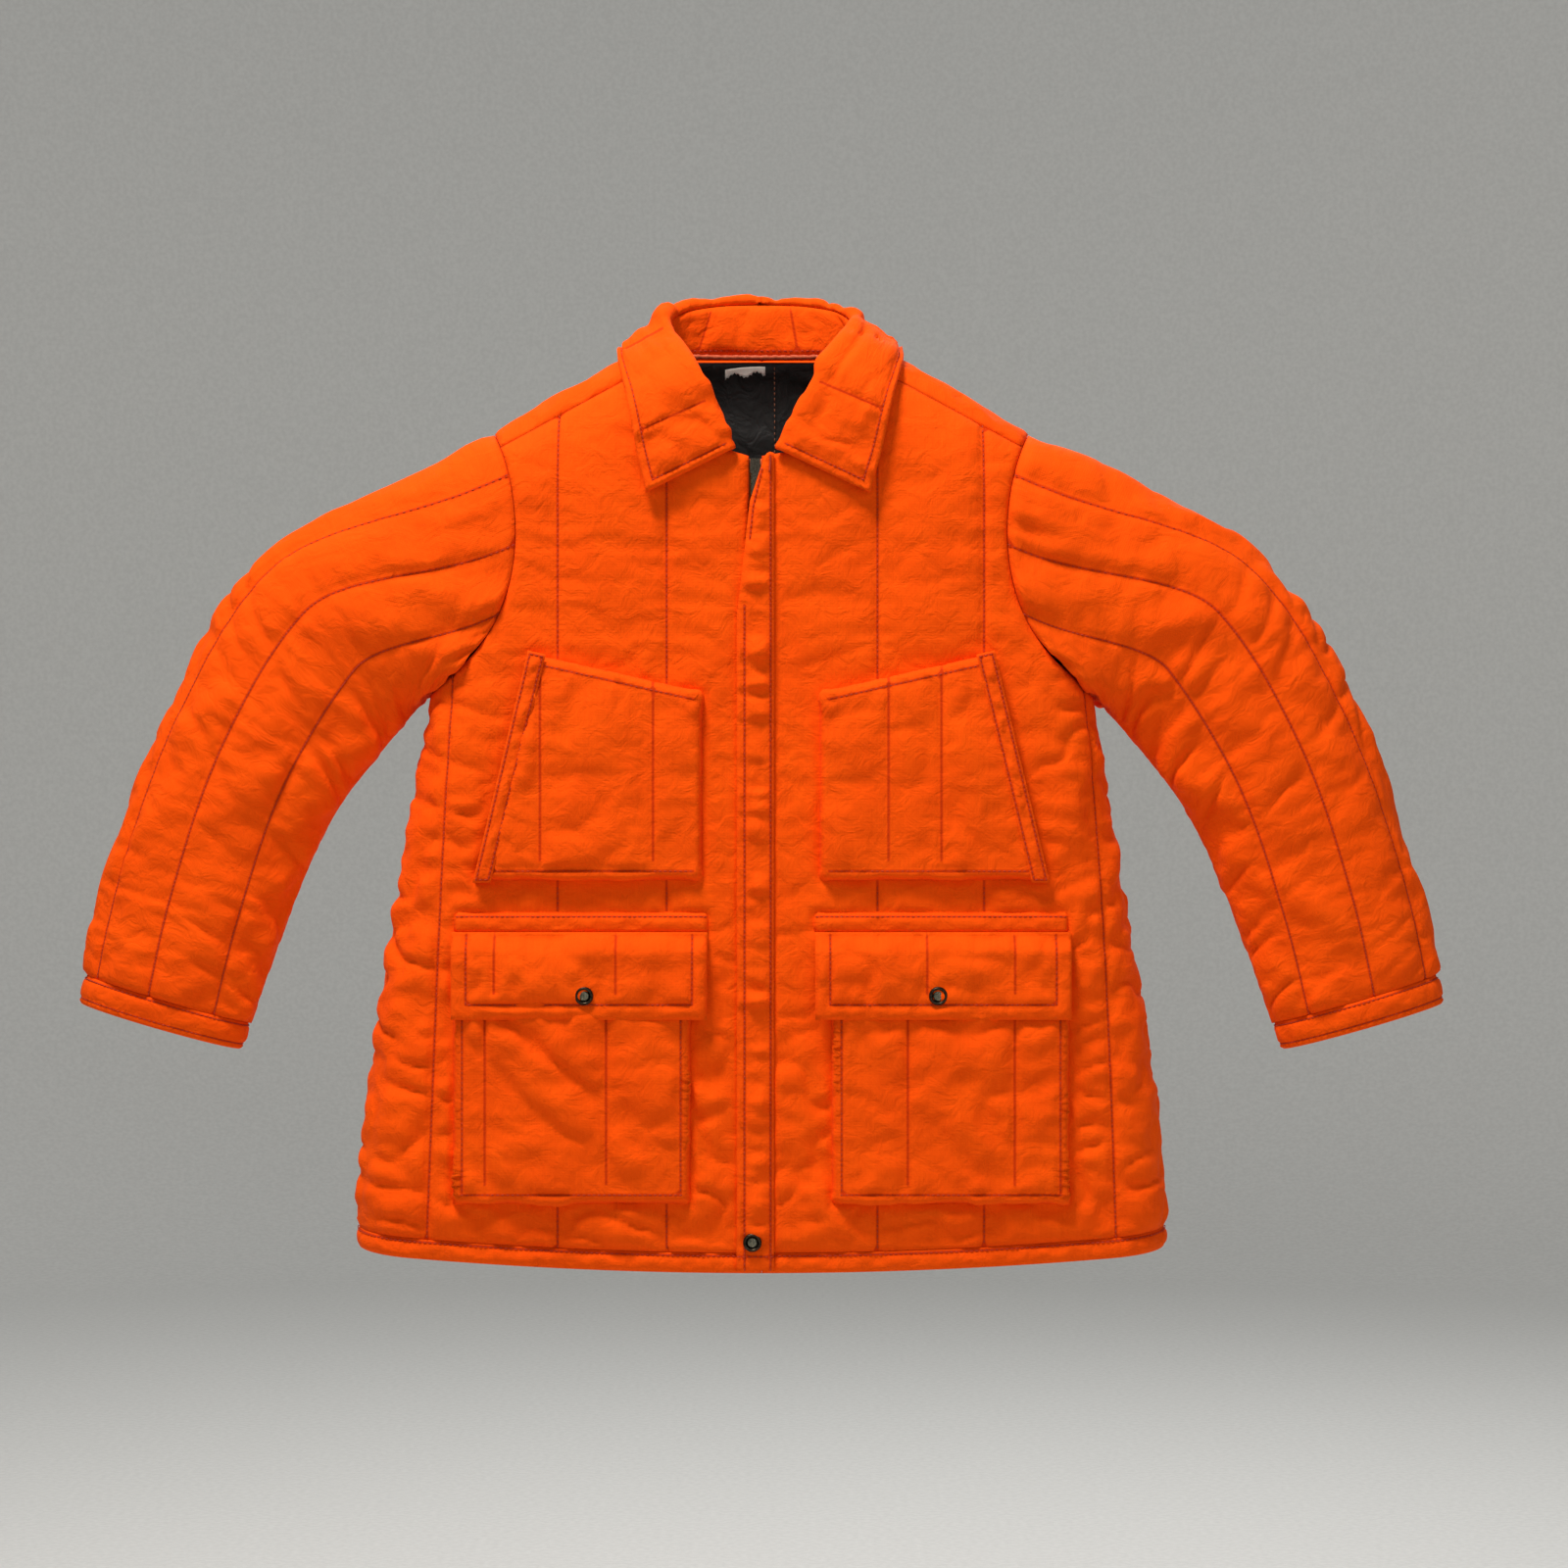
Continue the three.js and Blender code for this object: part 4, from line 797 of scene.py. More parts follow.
class JACKET_OT_stage(bpy.types.Operator):
    """Sets up the camera, the soft studio light and a pale floor that curves up all round"""

    bl_idname = "jacket.stage"
    bl_label = "Studio"

    def execute(self, context):
        scene = context.scene
        camera = bpy.data.objects.new("camera", bpy.data.cameras.new("camera"))
        scene.collection.objects.link(camera)
        camera.data.lens, camera.data.sensor_width = LENS_MM, SENSOR_MM
        distance = VIEW_WIDTH * LENS_MM / SENSOR_MM
        camera.location = (VIEW_X * MM, (FACE / 2 - distance) * MM, VIEW_Z * MM)
        camera.rotation_euler = (math.pi / 2, 0, 0)
        scene.camera = camera
        scene.view_settings.view_transform = "Standard"

        # A bowl of painted plaster, wide enough to stand outside every view.
        profile = [(0.001, BOWL_LOW), (BOWL_FLAT / 2, BOWL_LOW), (BOWL_FLAT, BOWL_LOW)]
        profile += [(BOWL_FLAT + BOWL_CURVE * math.sin(t), BOWL_LOW + BOWL_CURVE * (1 - math.cos(t)))
                    for t in np.linspace(0.1, math.pi / 2, 12)]
        profile += [(BOWL_FLAT + BOWL_CURVE, z) for z in BOWL_WALL]
        turns = [2 * math.pi * k / BOWL_SIDES for k in range(BOWL_SIDES)]
        points = [(r * math.cos(turn), r * math.sin(turn), z) for r, z in profile for turn in turns]
        faces = ring_faces(len(profile), BOWL_SIDES)
        floor = new_object("studio_floor", np.array(points) / MM, faces)
        # Painted plaster, rolled: pale grey and matt, with a faint orange-peel.
        floor.data.materials.append(plain("rolled_plaster_paint", "#DCDDDB", "#D4D5D3", 9.0, 0.9, bump=0.5))

        world = bpy.data.worlds.new("studio")
        world.use_nodes = True
        world.node_tree.nodes["Background"].inputs[0].default_value = colour(WORLD_COLOUR)
        world.node_tree.nodes["Background"].inputs[1].default_value = WORLD_STRENGTH
        scene.world = world
        for name, (size, share, place, tint) in LIGHTS.items():
            add_panel_light(name, size, scene.jacket.light_power * share, place, tint)
        return {"FINISHED"}


# --- the body ----------------------------------------------------------------------------------------------
CHEST = ((47, -446), (47, -286), (194, -253), (240, -446))
CARGO = ((57, -716), (57, -512), (259, -512), (259, -716))
BAND = ((43, -487), (43, -470), (257, -470), (257, -487))
FLAP_INNER, FLAP_OUTER, FLAP_TOP, FLAP_SLOPE, FLAP_BOTTOM = 45, 258, -487.4, -505, -560
PLACKET = ((PLACKET_FREE, HEM_CENTRE_Z), (PLACKET_SEWN, HEM_CENTRE_Z), (PLACKET_SEWN, -88), (7.7, -87),
           (5, -88), (2.6, -91), (-9.5, -128), (-14.5, -172), (PLACKET_FREE, -225))
PLACKET_FACE = FACE - 5.1
SNAP_AT, SNAP_Z, SNAP_CLEAR = 147, -540, 9  # where the flaps' snaps are, and the room round each
POCKET_COVERED_Z = -524  # above this the flap lies on the pocket
FACING_WIDE, FLAP_STITCH_IN = 15, 12.5
POCKET_BACK, POCKET_FACE = FACE - SEAM_GAP, FACE - SEAM_GAP - 10
FRONT = lambda points: np.array([0, -1.0, 0])
BEHIND = lambda points: np.array([0, 1.0, 0])
QUILTING = {"deep": 1.7, "wide": 2.5, "pucker": 0.8}
QUILT = {1: ((97, 97), (186, 186), (282, 297)), -1: ((79, 79), (170, 170), (262, 280))}


def inset(outline, gap):
    """An outline moved inward by a gap, for convex pieces."""
    outline = np.asarray(outline, float)
    if turning(outline) < 0:
        outline = outline[::-1]
    found = []
    for before, at, after in zip(np.roll(outline, 1, axis=0), outline, np.roll(outline, -1, axis=0)):
        d1, d2 = (at - before) / np.linalg.norm(at - before), (after - at) / np.linalg.norm(after - at)
        n1, n2 = np.array([-d1[1], d1[0]]), np.array([-d2[1], d2[0]])
        found.append(at + gap * (n1 + n2) / (1 + n1 @ n2))
    return np.array(found)


def uprights(marks, top, foot, **line):
    """Sewn lines straight down at each of the marks."""
    return [{"path": [(x, top), (x, foot)], **line} for x in marks]


def front_outline(sign):
    low = np.linspace(HEM_CENTRE_Z + HEM_WIDTH + SEAM_GAP, NECK_FRONT_Z, 80)
    centre = np.stack([front_edge(sign, low), low], axis=1)
    top = YOKE_FRONT + SEAM_GAP / 2
    neck = neckline(np.linspace(1, at_fall(neckline, top), 16)[1:])
    arm = armhole(np.linspace(at_fall(armhole, top), 1, 30)) - (SEAM_GAP / 2, 0)
    z = np.linspace(ARMPIT_Z, HEM_SIDE_Z + HEM_WIDTH + SEAM_GAP, 40)[1:]
    side = np.stack([cloth_half(z) - SEAM_GAP / 2, z], axis=1)
    part = np.linspace(1, 0, 30)[1:-1]
    hem_z = hem_at(part) + HEM_WIDTH + SEAM_GAP
    hem = np.stack([part * cloth_half(hem_z), hem_z], axis=1)
    hem = hem[hem[:, 0] > centre[0, 0] + 3]
    return np.vstack([centre, neck, arm, side, hem])


def rumpled(a, b):
    """Where the body's cloth is rumpled, from 0 on the chest to 1 at the sides and toward the hem."""
    out = ramp(np.abs(a), 205, 275) * ramp(-b, 240, 320)
    return np.maximum(0.9 * ramp(-b, 430, 640), out)


def body_crumple(seed):
    """Soft upright drape over the chest, and more and shorter wrinkles where the cloth is rumpled."""

    def shape(a, b):
        loose = rumpled(a, b)
        drape = 1.7 * ripple(a / 30, b / 230, seed) + 0.6 * ripple(a / 17 + b / 120, b / 90, seed + 1)
        short = crease((a + 0.35 * b) / 40, (b - 0.25 * a) / 22, seed + 2) + 0.45
        small = ripple((a - 0.4 * b) / 16, (b + 0.3 * a) / 11, seed + 3)
        return 0.6 * drape * (1 - 0.4 * loose) + (0.35 + 2.2 * loose) * short + (0.12 + 0.9 * loose) * small

    return shape


class JACKET_OT_fronts(bpy.types.Operator):
    """Sews the two quilted fronts"""

    bl_idname = "jacket.fronts"
    bl_label = "Fronts and hem"

    def execute(self, context):
        specs = []
        for side, sign in SIDES:
            lines = [{**QUILTING, "path": [(top, -40), (top, -300), (foot, -765)]}
                     for top, foot in QUILT[sign]]

            def covered(a, b, sign=sign):
                at = np.stack([a, b], axis=1)
                clear = np.where(b < -170, a - (PLACKET_SEWN if sign > 0 else -PLACKET_FREE) + 1, 9)
                for shape in (CHEST, CARGO, BAND):
                    shape = inset(shape, 2.0)
                    gap = away(at, shape, True)[0]
                    clear = np.minimum(clear, np.where(within(at, shape), -1, gap))
                return clear

            specs.append({
                "name": f"front_{side}", "outline": front_outline(sign), "thick": SHELL, "lines": lines,
                "place": lambda a, b, sign=sign: torso(sign * a, b, -1), "toward": FRONT, "covered": covered,
                "crumple": body_crumple(11 if sign > 0 else 31), "seed": 100 + sign, "puff": 1.6,
                "loose": rumpled, "surplus": 0.055, "pressure": 2.0, "rim_shade": 0.9,
            })
        for (side, _), made in zip(SIDES, sew(specs)):
            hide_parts(f"front_panel_{side}")
            ride_all(made, "torso")
        return {"FINISHED"}


class JACKET_OT_hems(bpy.types.Operator):
    """Turns up and stitches the hem, front and back"""

    bl_idname = "jacket.hems"
    bl_label = "Hem"

    def execute(self, context):
        specs, nodes = [], []
        starts = {"left": lambda z: front_edge(1, z), "right": lambda z: front_edge(-1, z), "back": None}
        for name, start in starts.items():
            side = 1 if name == "back" else -1
            sign = -1 if name == "right" else 1
            half = name != "back"
            part = np.linspace(0 if half else -1, 1, 60)

            def row(rise, part=part, half=half, start=start):
                z = hem_at(np.abs(part)) + rise
                reach = cloth_half(z) - SEAM_GAP / 2
                x = start(z) + (reach - start(z)) * part if half else reach * part
                return np.stack([x, z], axis=1)

            place = (lambda a, b, sign=sign, side=side: torso(sign * a, b, side))
            specs.append({
                "name": f"turned_hem_{name}", "place": place,
                "outline": np.vstack([row(-2.5), row(HEM_WIDTH)[::-1]]),
                "toward": FRONT if half else BEHIND, "thick": SHELL + 0.3, "step": 3.2, "puff": 1.2,
                "lines": [{"path": row(HEM_WIDTH - 2.2), "deep": 1.2, "wide": 1.6, "pucker": 0.9}],
                "rim_pucker": 0.8, "seed": 140 + len(specs), "surplus": 0.05,
            })
            nodes.append(f"hem_front_{name}" if half else "hem_back")
        for cad, made in zip(nodes, sew(specs)):
            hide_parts(cad)
            ride_all(made, "torso")
        return {"FINISHED"}


def back_outline(top, foot):
    z = np.linspace(hem_at(1) + foot, ARMPIT_Z, 40)
    side = np.stack([cloth_half(z) - SEAM_GAP / 2, z], axis=1)
    arm = armhole(np.linspace(1, at_height(armhole, top), 20)[1:]) - (SEAM_GAP / 2, 0)
    right = np.vstack([side, arm])
    left = right[::-1] * (-1, 1)
    part = np.linspace(-1, 1, 50)[1:-1]
    hem_z = hem_at(np.abs(part)) + foot
    hem = np.stack([part * cloth_half(hem_z), hem_z], axis=1)
    return np.vstack([hem, right, left])


AROUND_MM = 66.0  # of cloth for each radian over the shoulder


def yoke_outline():
    """The yoke laid flat: across the shoulders, by the distance round them."""
    back_z, front = YOKE_BACK_Z + SEAM_GAP / 2, YOKE_FRONT - SEAM_GAP / 2

    def below(points):
        return np.maximum(0, shoulder_line(points[:, 0]) - points[:, 1])

    neck = neckline(np.linspace(at_fall(neckline, front), 0, 8))
    inner_front = np.stack([neck[:, 0], -angle_of_fall(below(neck))], axis=1)
    x = NECK_HALF * np.sin(np.linspace(np.pi / 2, 0, 24)[1:])
    inner_back = np.stack([x, angle_of_fall(shoulder_line(x))], axis=1)
    arm = armhole(np.linspace(at_fall(armhole, front), 0, 10))
    outer_front = np.stack([arm[:, 0], -angle_of_fall(below(arm))], axis=1)
    arm = armhole(np.linspace(0, at_height(armhole, back_z), 20)[1:])
    outer_back = np.stack([arm[:, 0], angle_of_fall(below(arm))], axis=1)
    across = np.linspace(arm[-1, 0], 0, 30)[1:]
    seam = np.stack([across, angle_of_fall(shoulder_line(across) - back_z)], axis=1)
    inner, outer = np.vstack([inner_front, inner_back]), np.vstack([outer_front, outer_back, seam])
    half = np.vstack([inner[::-1], outer - (SEAM_GAP / 2, 0)])
    mirror = half[::-1][1:-1] * (-1, 1)
    return np.vstack([half, mirror]) * (1, AROUND_MM)


def yoke_place(a, b):
    return shoulders(a, b / AROUND_MM)


def yoke_out(points):
    return points * (0, 1, 1) + (0, 0, 200)


class JACKET_OT_back(bpy.types.Operator):
    """Sews the quilted back and the yoke over the shoulders"""

    bl_idname = "jacket.back"
    bl_label = "Back and yoke"

    def execute(self, context):
        rows = (-270, -180, -90, 0, 90, 180, 270)
        back = {
            "name": "back", "outline": back_outline(YOKE_BACK_Z - SEAM_GAP / 2, HEM_WIDTH + SEAM_GAP),
            "place": lambda a, b: torso(a, b, 1), "toward": BEHIND, "thick": SHELL, "step": 4.8,
            "lines": [{**QUILTING, "path": [(x, -100), (x, -300), (x * 1.06, -775)]} for x in rows],
            "crumple": body_crumple(51), "seed": 160, "puff": 2.0, "loose": rumpled, "surplus": 0.05,
            "rim_shade": 0.9,
        }
        yoke = {
            "name": "yoke", "outline": yoke_outline(), "thick": SHELL, "seed": 190, "puff": 1.3,
            "rim_shade": 0.9, "place": yoke_place, "toward": yoke_out,
            "crumple": lambda a, b: 0.8 * ripple(a / 34, b / 60, 71) + 0.4 * ripple(a / 14, b / 22, 72),
            "lines": uprights([x for x in rows if abs(x) < 200], 40, 400, **QUILTING),
        }
        for made, cad in zip(sew([back, yoke]), ("back_panel", "back_yoke")):
            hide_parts(cad)
            ride_all(made, "torso")
        return {"FINISHED"}


class JACKET_OT_linings(bpy.types.Operator):
    """Hangs the taffeta linings of the body and the sleeves"""

    bl_idname = "jacket.linings"
    bl_label = "Linings"

    def execute(self, context):
        def inside(place, toward):
            def moved(a, b):
                points, normal, _ = frame_of(place, a, b, toward)
                return points - normal * LINING_DEPTH
            return {"place": moved, "toward": lambda points: -toward(points)}

        def wrinkles(a, b):
            return 1.0 * ripple(a / 60, b / 13, 301) + 0.7 * crease(a / 45, b / 17, 302) + 0.3

        common = {"thick": LINING, "roll": 0.2, "puff": 0.0, "rim_pucker": 0.1, "material": "lining",
                  "thread": "lining_thread", "slot": "lining", "still": True, "crumple": wrinkles}
        specs, facts = [], []
        specs.append({**common, "name": "lining_of_yoke", "outline": yoke_outline(), "step": 5.0,
                      **inside(yoke_place, yoke_out),
                      "lines": [{"path": [(11, 60), (11, 400)], "rise": 1.2}]})
        facts.append(("lining_yoke", (0.454, 0.25), 0.075))
        specs.append({**common, "name": "lining_of_back", "outline": back_outline(
            YOKE_BACK_Z - SEAM_GAP / 2, HEM_WIDTH + SEAM_GAP), "step": 7.0,
            **inside(lambda a, b: torso(a, b, 1), BEHIND),
            "lines": [{"path": [(11, -100), (11, -750)], "rise": 1.2}]})
        facts.append(("lining_back", (0.744, 0.626), 0.42))
        for side, sign in SIDES:
            outline = front_outline(sign)
            outline = outline[outline[:, 0] > 20]
            specs.append({**common, "name": f"lining_of_front_{side}", "outline": outline, "step": 9.0,
                          **inside(lambda a, b, sign=sign: torso(sign * a, b, -1), FRONT)})
            facts.append((f"lining_front_{side}", (0.36, 0.68), 0.2))
            specs.append({**common, "name": f"lining_of_sleeve_{side}",
                          "outline": sleeve_outline(0, CUFF_START), "step": 9.0,
                          **inside(sleeve_place(sign), sleeve_out(sign))})
            facts.append((f"sleeve_lining_{side}", (0.47, 0.595), 0.25))
        for spec, made, (cad, flat, area) in zip(specs, sew(specs), facts):
            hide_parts(cad)
            if "sleeve" in cad:
                bend_sleeve(made)
            else:
                ride_all(made, "torso")
        return {"FINISHED"}


# --- the sleeves -------------------------------------------------------------------------------------------
SLEEVE_TOP = [(0, 0), (193, -106), (273, -228), (326, -371), (351, -481)]
SLEEVE_UNDER = [(0, 0), (23, -25), (81, -99), (126, -198), (161, -300)]
SLEEVE_MIDDLE = [(253, 0, -176), (361, 0, -242), (430, 0, -340), (479, 0, -461), (509, 0, -567)]
SLEEVE_LENGTH, ROUND_MM, CUFF_START = 630.0, 72.0, 0.945


def armhole_ring(angle):
    part = (angle / np.pi) % 2
    seam = armhole(np.where(part <= 1, part, 2 - part))
    return torso(seam[..., 0], seam[..., 1], np.where(part <= 1, -1, 1))


def sleeve(part, angle):
    """The left sleeve from the armhole to the cuff; angle is 0 on top and a quarter turn in front."""
    part = np.clip(part, 0, 1)
    line = lambda points, x, z: spline([(x + px, 0, z + pz) for px, pz in points], part)
    top, under = line(SLEEVE_TOP, SHOULDER_HALF, SHOULDER_Z), line(SLEEVE_UNDER, ARMPIT_HALF, ARMPIT_Z)
    rise = (top - under) / 2
    axis = np.cross((0, 1.0, 0), rise)
    axis /= np.linalg.norm(axis, axis=1, keepdims=True)
    cos, sin = np.cos(angle)[:, None], np.sin(angle)[:, None]
    near = (armhole_ring(angle) + (top - (SHOULDER_HALF, 0, SHOULDER_Z)) * (1 + cos) / 2
            + (under - (ARMPIT_HALF, 0, ARMPIT_Z)) * (1 - cos) / 2)
    far = (top + under) / 2 + rise * cos
    far[:, 1] -= (48 - 14 * part) * sin[:, 0]
    oval = smooth(ramp(part, 0, 0.25))[:, None]
    return near + (far - near) * oval + axis * (0.3 + 1.7 * ramp(part, 0, 0.03))[:, None]


def sleeve_place(sign):
    return lambda a, b: sleeve(a / SLEEVE_LENGTH, b / ROUND_MM) * (sign, 1, 1)


def sleeve_out(sign):
    """Away from the sleeve's middle line."""

    def out(points):
        part = ramp(points[:, 0] * sign, 220, 500)
        middle = spline(SLEEVE_MIDDLE, part)
        return points - middle * (sign, 1, 1)

    return out


def sleeve_outline(start, end):
    a = (start * SLEEVE_LENGTH, end * SLEEVE_LENGTH)
    b = np.pi * ROUND_MM - 0.2
    return [(a[0], -b), (a[1], -b), (a[1], b), (a[0], b)]


def bend_sleeve(made):
    blend_all(made)


def underarm(a, b):
    """1 along the underarm seam and 0 away from it."""
    return np.exp(-(((np.pi * ROUND_MM - np.abs(b)) / 16) ** 2))


class JACKET_OT_sleeves(bpy.types.Operator):
    """Sews the quilted sleeves, gathered into their armholes, and their cuffs"""

    bl_idname = "jacket.sleeves"
    bl_label = "Sleeves and cuffs"

    def execute(self, context):
        specs = []
        quilting = (-2.3, -1.45, -0.62, 0.62, 1.45, 2.3)
        for side, sign in SIDES:
            def crumple(a, b, sign=sign):
                gather = 2.6 * np.exp(-a / 34) * ripple(b / 8.5, a / 120, 80 + sign)
                bend = np.exp(-(((a - 250) / 120) ** 2))
                long = 1.6 * ripple((b + 0.55 * a) / 26, a / 150, 84 + sign)
                under = ramp(np.abs(b), 100, 200)
                short = crease((a - 0.5 * b) / 30, b / 62, 88 + sign) + 0.4
                short *= 0.8 + 1.4 * bend + 1.6 * under
                return gather + long + short + 0.4 * ripple(a / 15, b / 15, 92 + sign)

            specs.append({
                "name": f"sleeve_{side}", "outline": sleeve_outline(0, CUFF_START), "thick": SHELL,
                "step": 4.8, "place": sleeve_place(sign), "toward": sleeve_out(sign), "crumple": crumple,
                "puff": 2.2,
                "lines": [{"path": [(-5, q * ROUND_MM * 0.8), (700, q * ROUND_MM)], "deep": 1.7, "wide": 2.6,
                           "pucker": 1.0} for q in quilting],
                "seed": 200 + sign, "rim_pucker": 0.8, "limit": 7.0, "surplus": 0.05, "rim_shade": 0.9,
                "butt": underarm, "butt_lift": 0.6,
            })
            specs.append({
                "name": f"cuff_{side}", "outline": sleeve_outline(CUFF_START + 0.0006, 1.0),
                "thick": SHELL + 0.5, "place": sleeve_place(sign), "toward": sleeve_out(sign), "step": 4.0,
                "puff": 1.4,
                "lines": [{"path": [(along, -240), (along, 240)], "deep": 1.1, "wide": 1.8}
                          for along in (SLEEVE_LENGTH * CUFF_START + 4, SLEEVE_LENGTH - 7)],
                "seed": 220 + sign, "rim_pucker": 0.5,
            })
        made = sew(specs)
        for k, (side, sign) in enumerate(SIDES):
            for kind, piece in zip(("sleeve", "cuff"), made[2 * k:2 * k + 2]):
                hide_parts(f"{kind}_{side}")
                bend_sleeve(piece)
        return {"FINISHED"}


# --- the collar --------------------------------------------------------------------------------------------
ROLL_LINE = [(20, -54, -86), (36, -53, -54), (53, -50, -20), (80, 2, 26), (70, 24, 38), (40, 37, 45),
             (0, 41, 47)]
COLLAR_EDGE = [(93.5, -57, -122), (103, -56, -84), (110, -52, -46), (118, 2, -1), (98, 34, -8), (60, 49, -17),
               (0, 54, -22)]
COLLAR_ROUND, COLLAR_WIDE, STAND_TALL, ROLL_RADIUS = 262.0, 80.0, 46.0, 6.0


def round_neck(line, u, shift):
    """A collar line at u, from -1 at the right front end, by 0 behind, to 1 at the left."""
    points = spline(line, 1 - np.abs(u))
    points[:, 0] = np.where(u < 0, -points[:, 0], points[:, 0]) + shift * u**2
    return points


def roll_point(u):
    return round_neck(ROLL_LINE, u, ZIP_X)


def neck_seam(u):
    off = np.abs(u)
    x = NECK_HALF * np.sin(u * np.pi)
    behind = stack(x, depth_below(shoulder_line(x)), 0)
    seam = neckline(np.clip((off - 0.5) * 2, 0, 1) * np.where(u > 0, 0.96, 0.86))
    ahead = torso(np.sign(u) * seam[:, 0], seam[:, 1], -1)
    return np.where((off < 0.5)[:, None], behind, ahead)


def stand(u, v):
    foot, head = neck_seam(u), roll_point(u)
    rise = head - foot
    foot = foot + 2 * rise / np.linalg.norm(rise, axis=1, keepdims=True)
    return foot + (head - foot) * v[:, None]


def fall(u, v):
    point = roll_point(u)
    point = point + (round_neck(COLLAR_EDGE, u, ZIP_X / 2) - point) * v[:, None]
    under = shoulder_line(point[:, 0]) - point[:, 2]
    clear = depth_below(under) + 3
    out = np.sign(point[:, 1]) * np.maximum(np.abs(point[:, 1]), clear)
    point[:, 1] = np.where(under > 0, out, point[:, 1])
    return point


def collar_out(points):
    return points - np.array([0, -10, 0]) * np.ones_like(points) + (0, 0, 30)


def collar_place(sign):
    """Half the collar, from over its roll to its edge, at its outer skin."""

    def place(a, b):
        u = sign * np.clip(a, 0.01, COLLAR_ROUND) / COLLAR_ROUND
        v = np.clip(b, 0, None) / COLLAR_WIDE
        h = 0.002
        along = fall(np.clip(u + h, -1, 1), v) - fall(np.clip(u - h, -1, 1), v)
        down = fall(u, v + h) - fall(u, np.maximum(v - h, 0))
        normal = np.cross(along, down)
        normal /= np.linalg.norm(normal, axis=1, keepdims=True)
        base = fall(u, v)
        normal *= np.where(np.sum(normal * (base - (0, -10, -30)), axis=1) > 0, 1, -1)[:, None]
        down /= np.linalg.norm(down, axis=1, keepdims=True)
        turn = np.clip(-b, 0, None)[:, None] / ROLL_RADIUS
        lift = 0.6 * np.ones_like(turn) + ROLL_RADIUS * np.cos(turn)
        return base + normal * lift - down * ROLL_RADIUS * np.sin(turn)

    return place


class JACKET_OT_collar(bpy.types.Operator):
    """Sews the collar: the stand inside, and the two turned-down halves with their top-stitching"""

    bl_idname = "jacket.collar"
    bl_label = "Collar"

    def execute(self, context):
        specs = []
        back_roll = -ROLL_RADIUS * 2.6
        for side, sign in SIDES:
            end, edge = COLLAR_ROUND - 0.3, COLLAR_WIDE - 0.3
            outline = [(0.03, back_roll), (end, back_roll), (end, edge), (0.03, edge)]

            def crumple(a, b, sign=sign):
                return (1.3 * ripple(a / 17, b / 60, 400 + sign)
                        + 1.2 * ripple((a + b) / 30, b / 24, 402 + sign)
                        + 1.8 * (crease(a / 26 + b / 90, b / 30, 404 + sign) + 0.4))

            marks = (70, 128, 186) if sign > 0 else (70, 140, 205)
            specs.append({
                "name": f"collar_{side}", "outline": outline, "place": collar_place(sign),
                "toward": collar_out, "thick": 4.6, "step": 3.2, "puff": 1.8, "crumple": crumple,
                "seed": 420 + sign, "rim_pucker": 1.0,
                "butt": lambda a, b: np.exp(-((a / 6) ** 2)), "butt_lift": 2.0,
                "lines": [{"path": [(0, edge - 8), (end - 8, edge - 8), (end - 8, 2)], "deep": 1.3,
                           "wide": 2.0, "pucker": 1.3}]
                + uprights(marks, 4, edge - 11, deep=1.0, wide=2.0, pucker=0.7, thread=False),
                "surplus": 0.05, "limit": 4.0,
            })

        def stand_place(a, b):
            u, v = np.clip(a / COLLAR_ROUND, -1, 1), b / STAND_TALL
            h = 0.002
            normal = np.cross(stand(u + h, v) - stand(u - h, v), stand(u, v + h) - stand(u, v - h))
            normal /= np.linalg.norm(normal, axis=1, keepdims=True)
            base = stand(u, v)
            normal *= np.where(np.sum(normal * (base - (0, -10, 0)), axis=1) < 0, 1, -1)[:, None]
            return base + normal * 5.4

        reach = COLLAR_ROUND - 0.6
        specs.append({
            "name": "collar_stand_inside",
            "outline": [(-reach, 0.2), (reach, 0.2), (reach, 45.5), (-reach, 45.5)],
            "place": stand_place, "toward": lambda p: (0, -10, 0) - p, "thick": 4.6, "step": 4.0, "puff": 1.2,
            "crumple": lambda a, b: 0.9 * ripple(a / 16, b / 40, 431), "seed": 440, "rim_pucker": 0.6,
            "lines": uprights((-130, -48, 26, 118), 5, 44, deep=1.0, wide=2.0, thread=False)
            + [{"path": [(-reach + 2, 5), (reach - 2, 5)], "deep": 0.8, "wide": 1.6}],
        })
        left, right, inside = sew(specs)
        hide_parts("collar_leaf_left", "collar_fall")
        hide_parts("collar_leaf_right", "collar_fall")
        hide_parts("collar_stand")
        for (side, sign), made in zip(SIDES, (left, right)):
            across = np.array([0.892 * sign, -0.8, -0.446])
            across /= across @ across
            blend_all(made)
        ride_all(inside, "torso")
        return {"FINISHED"}


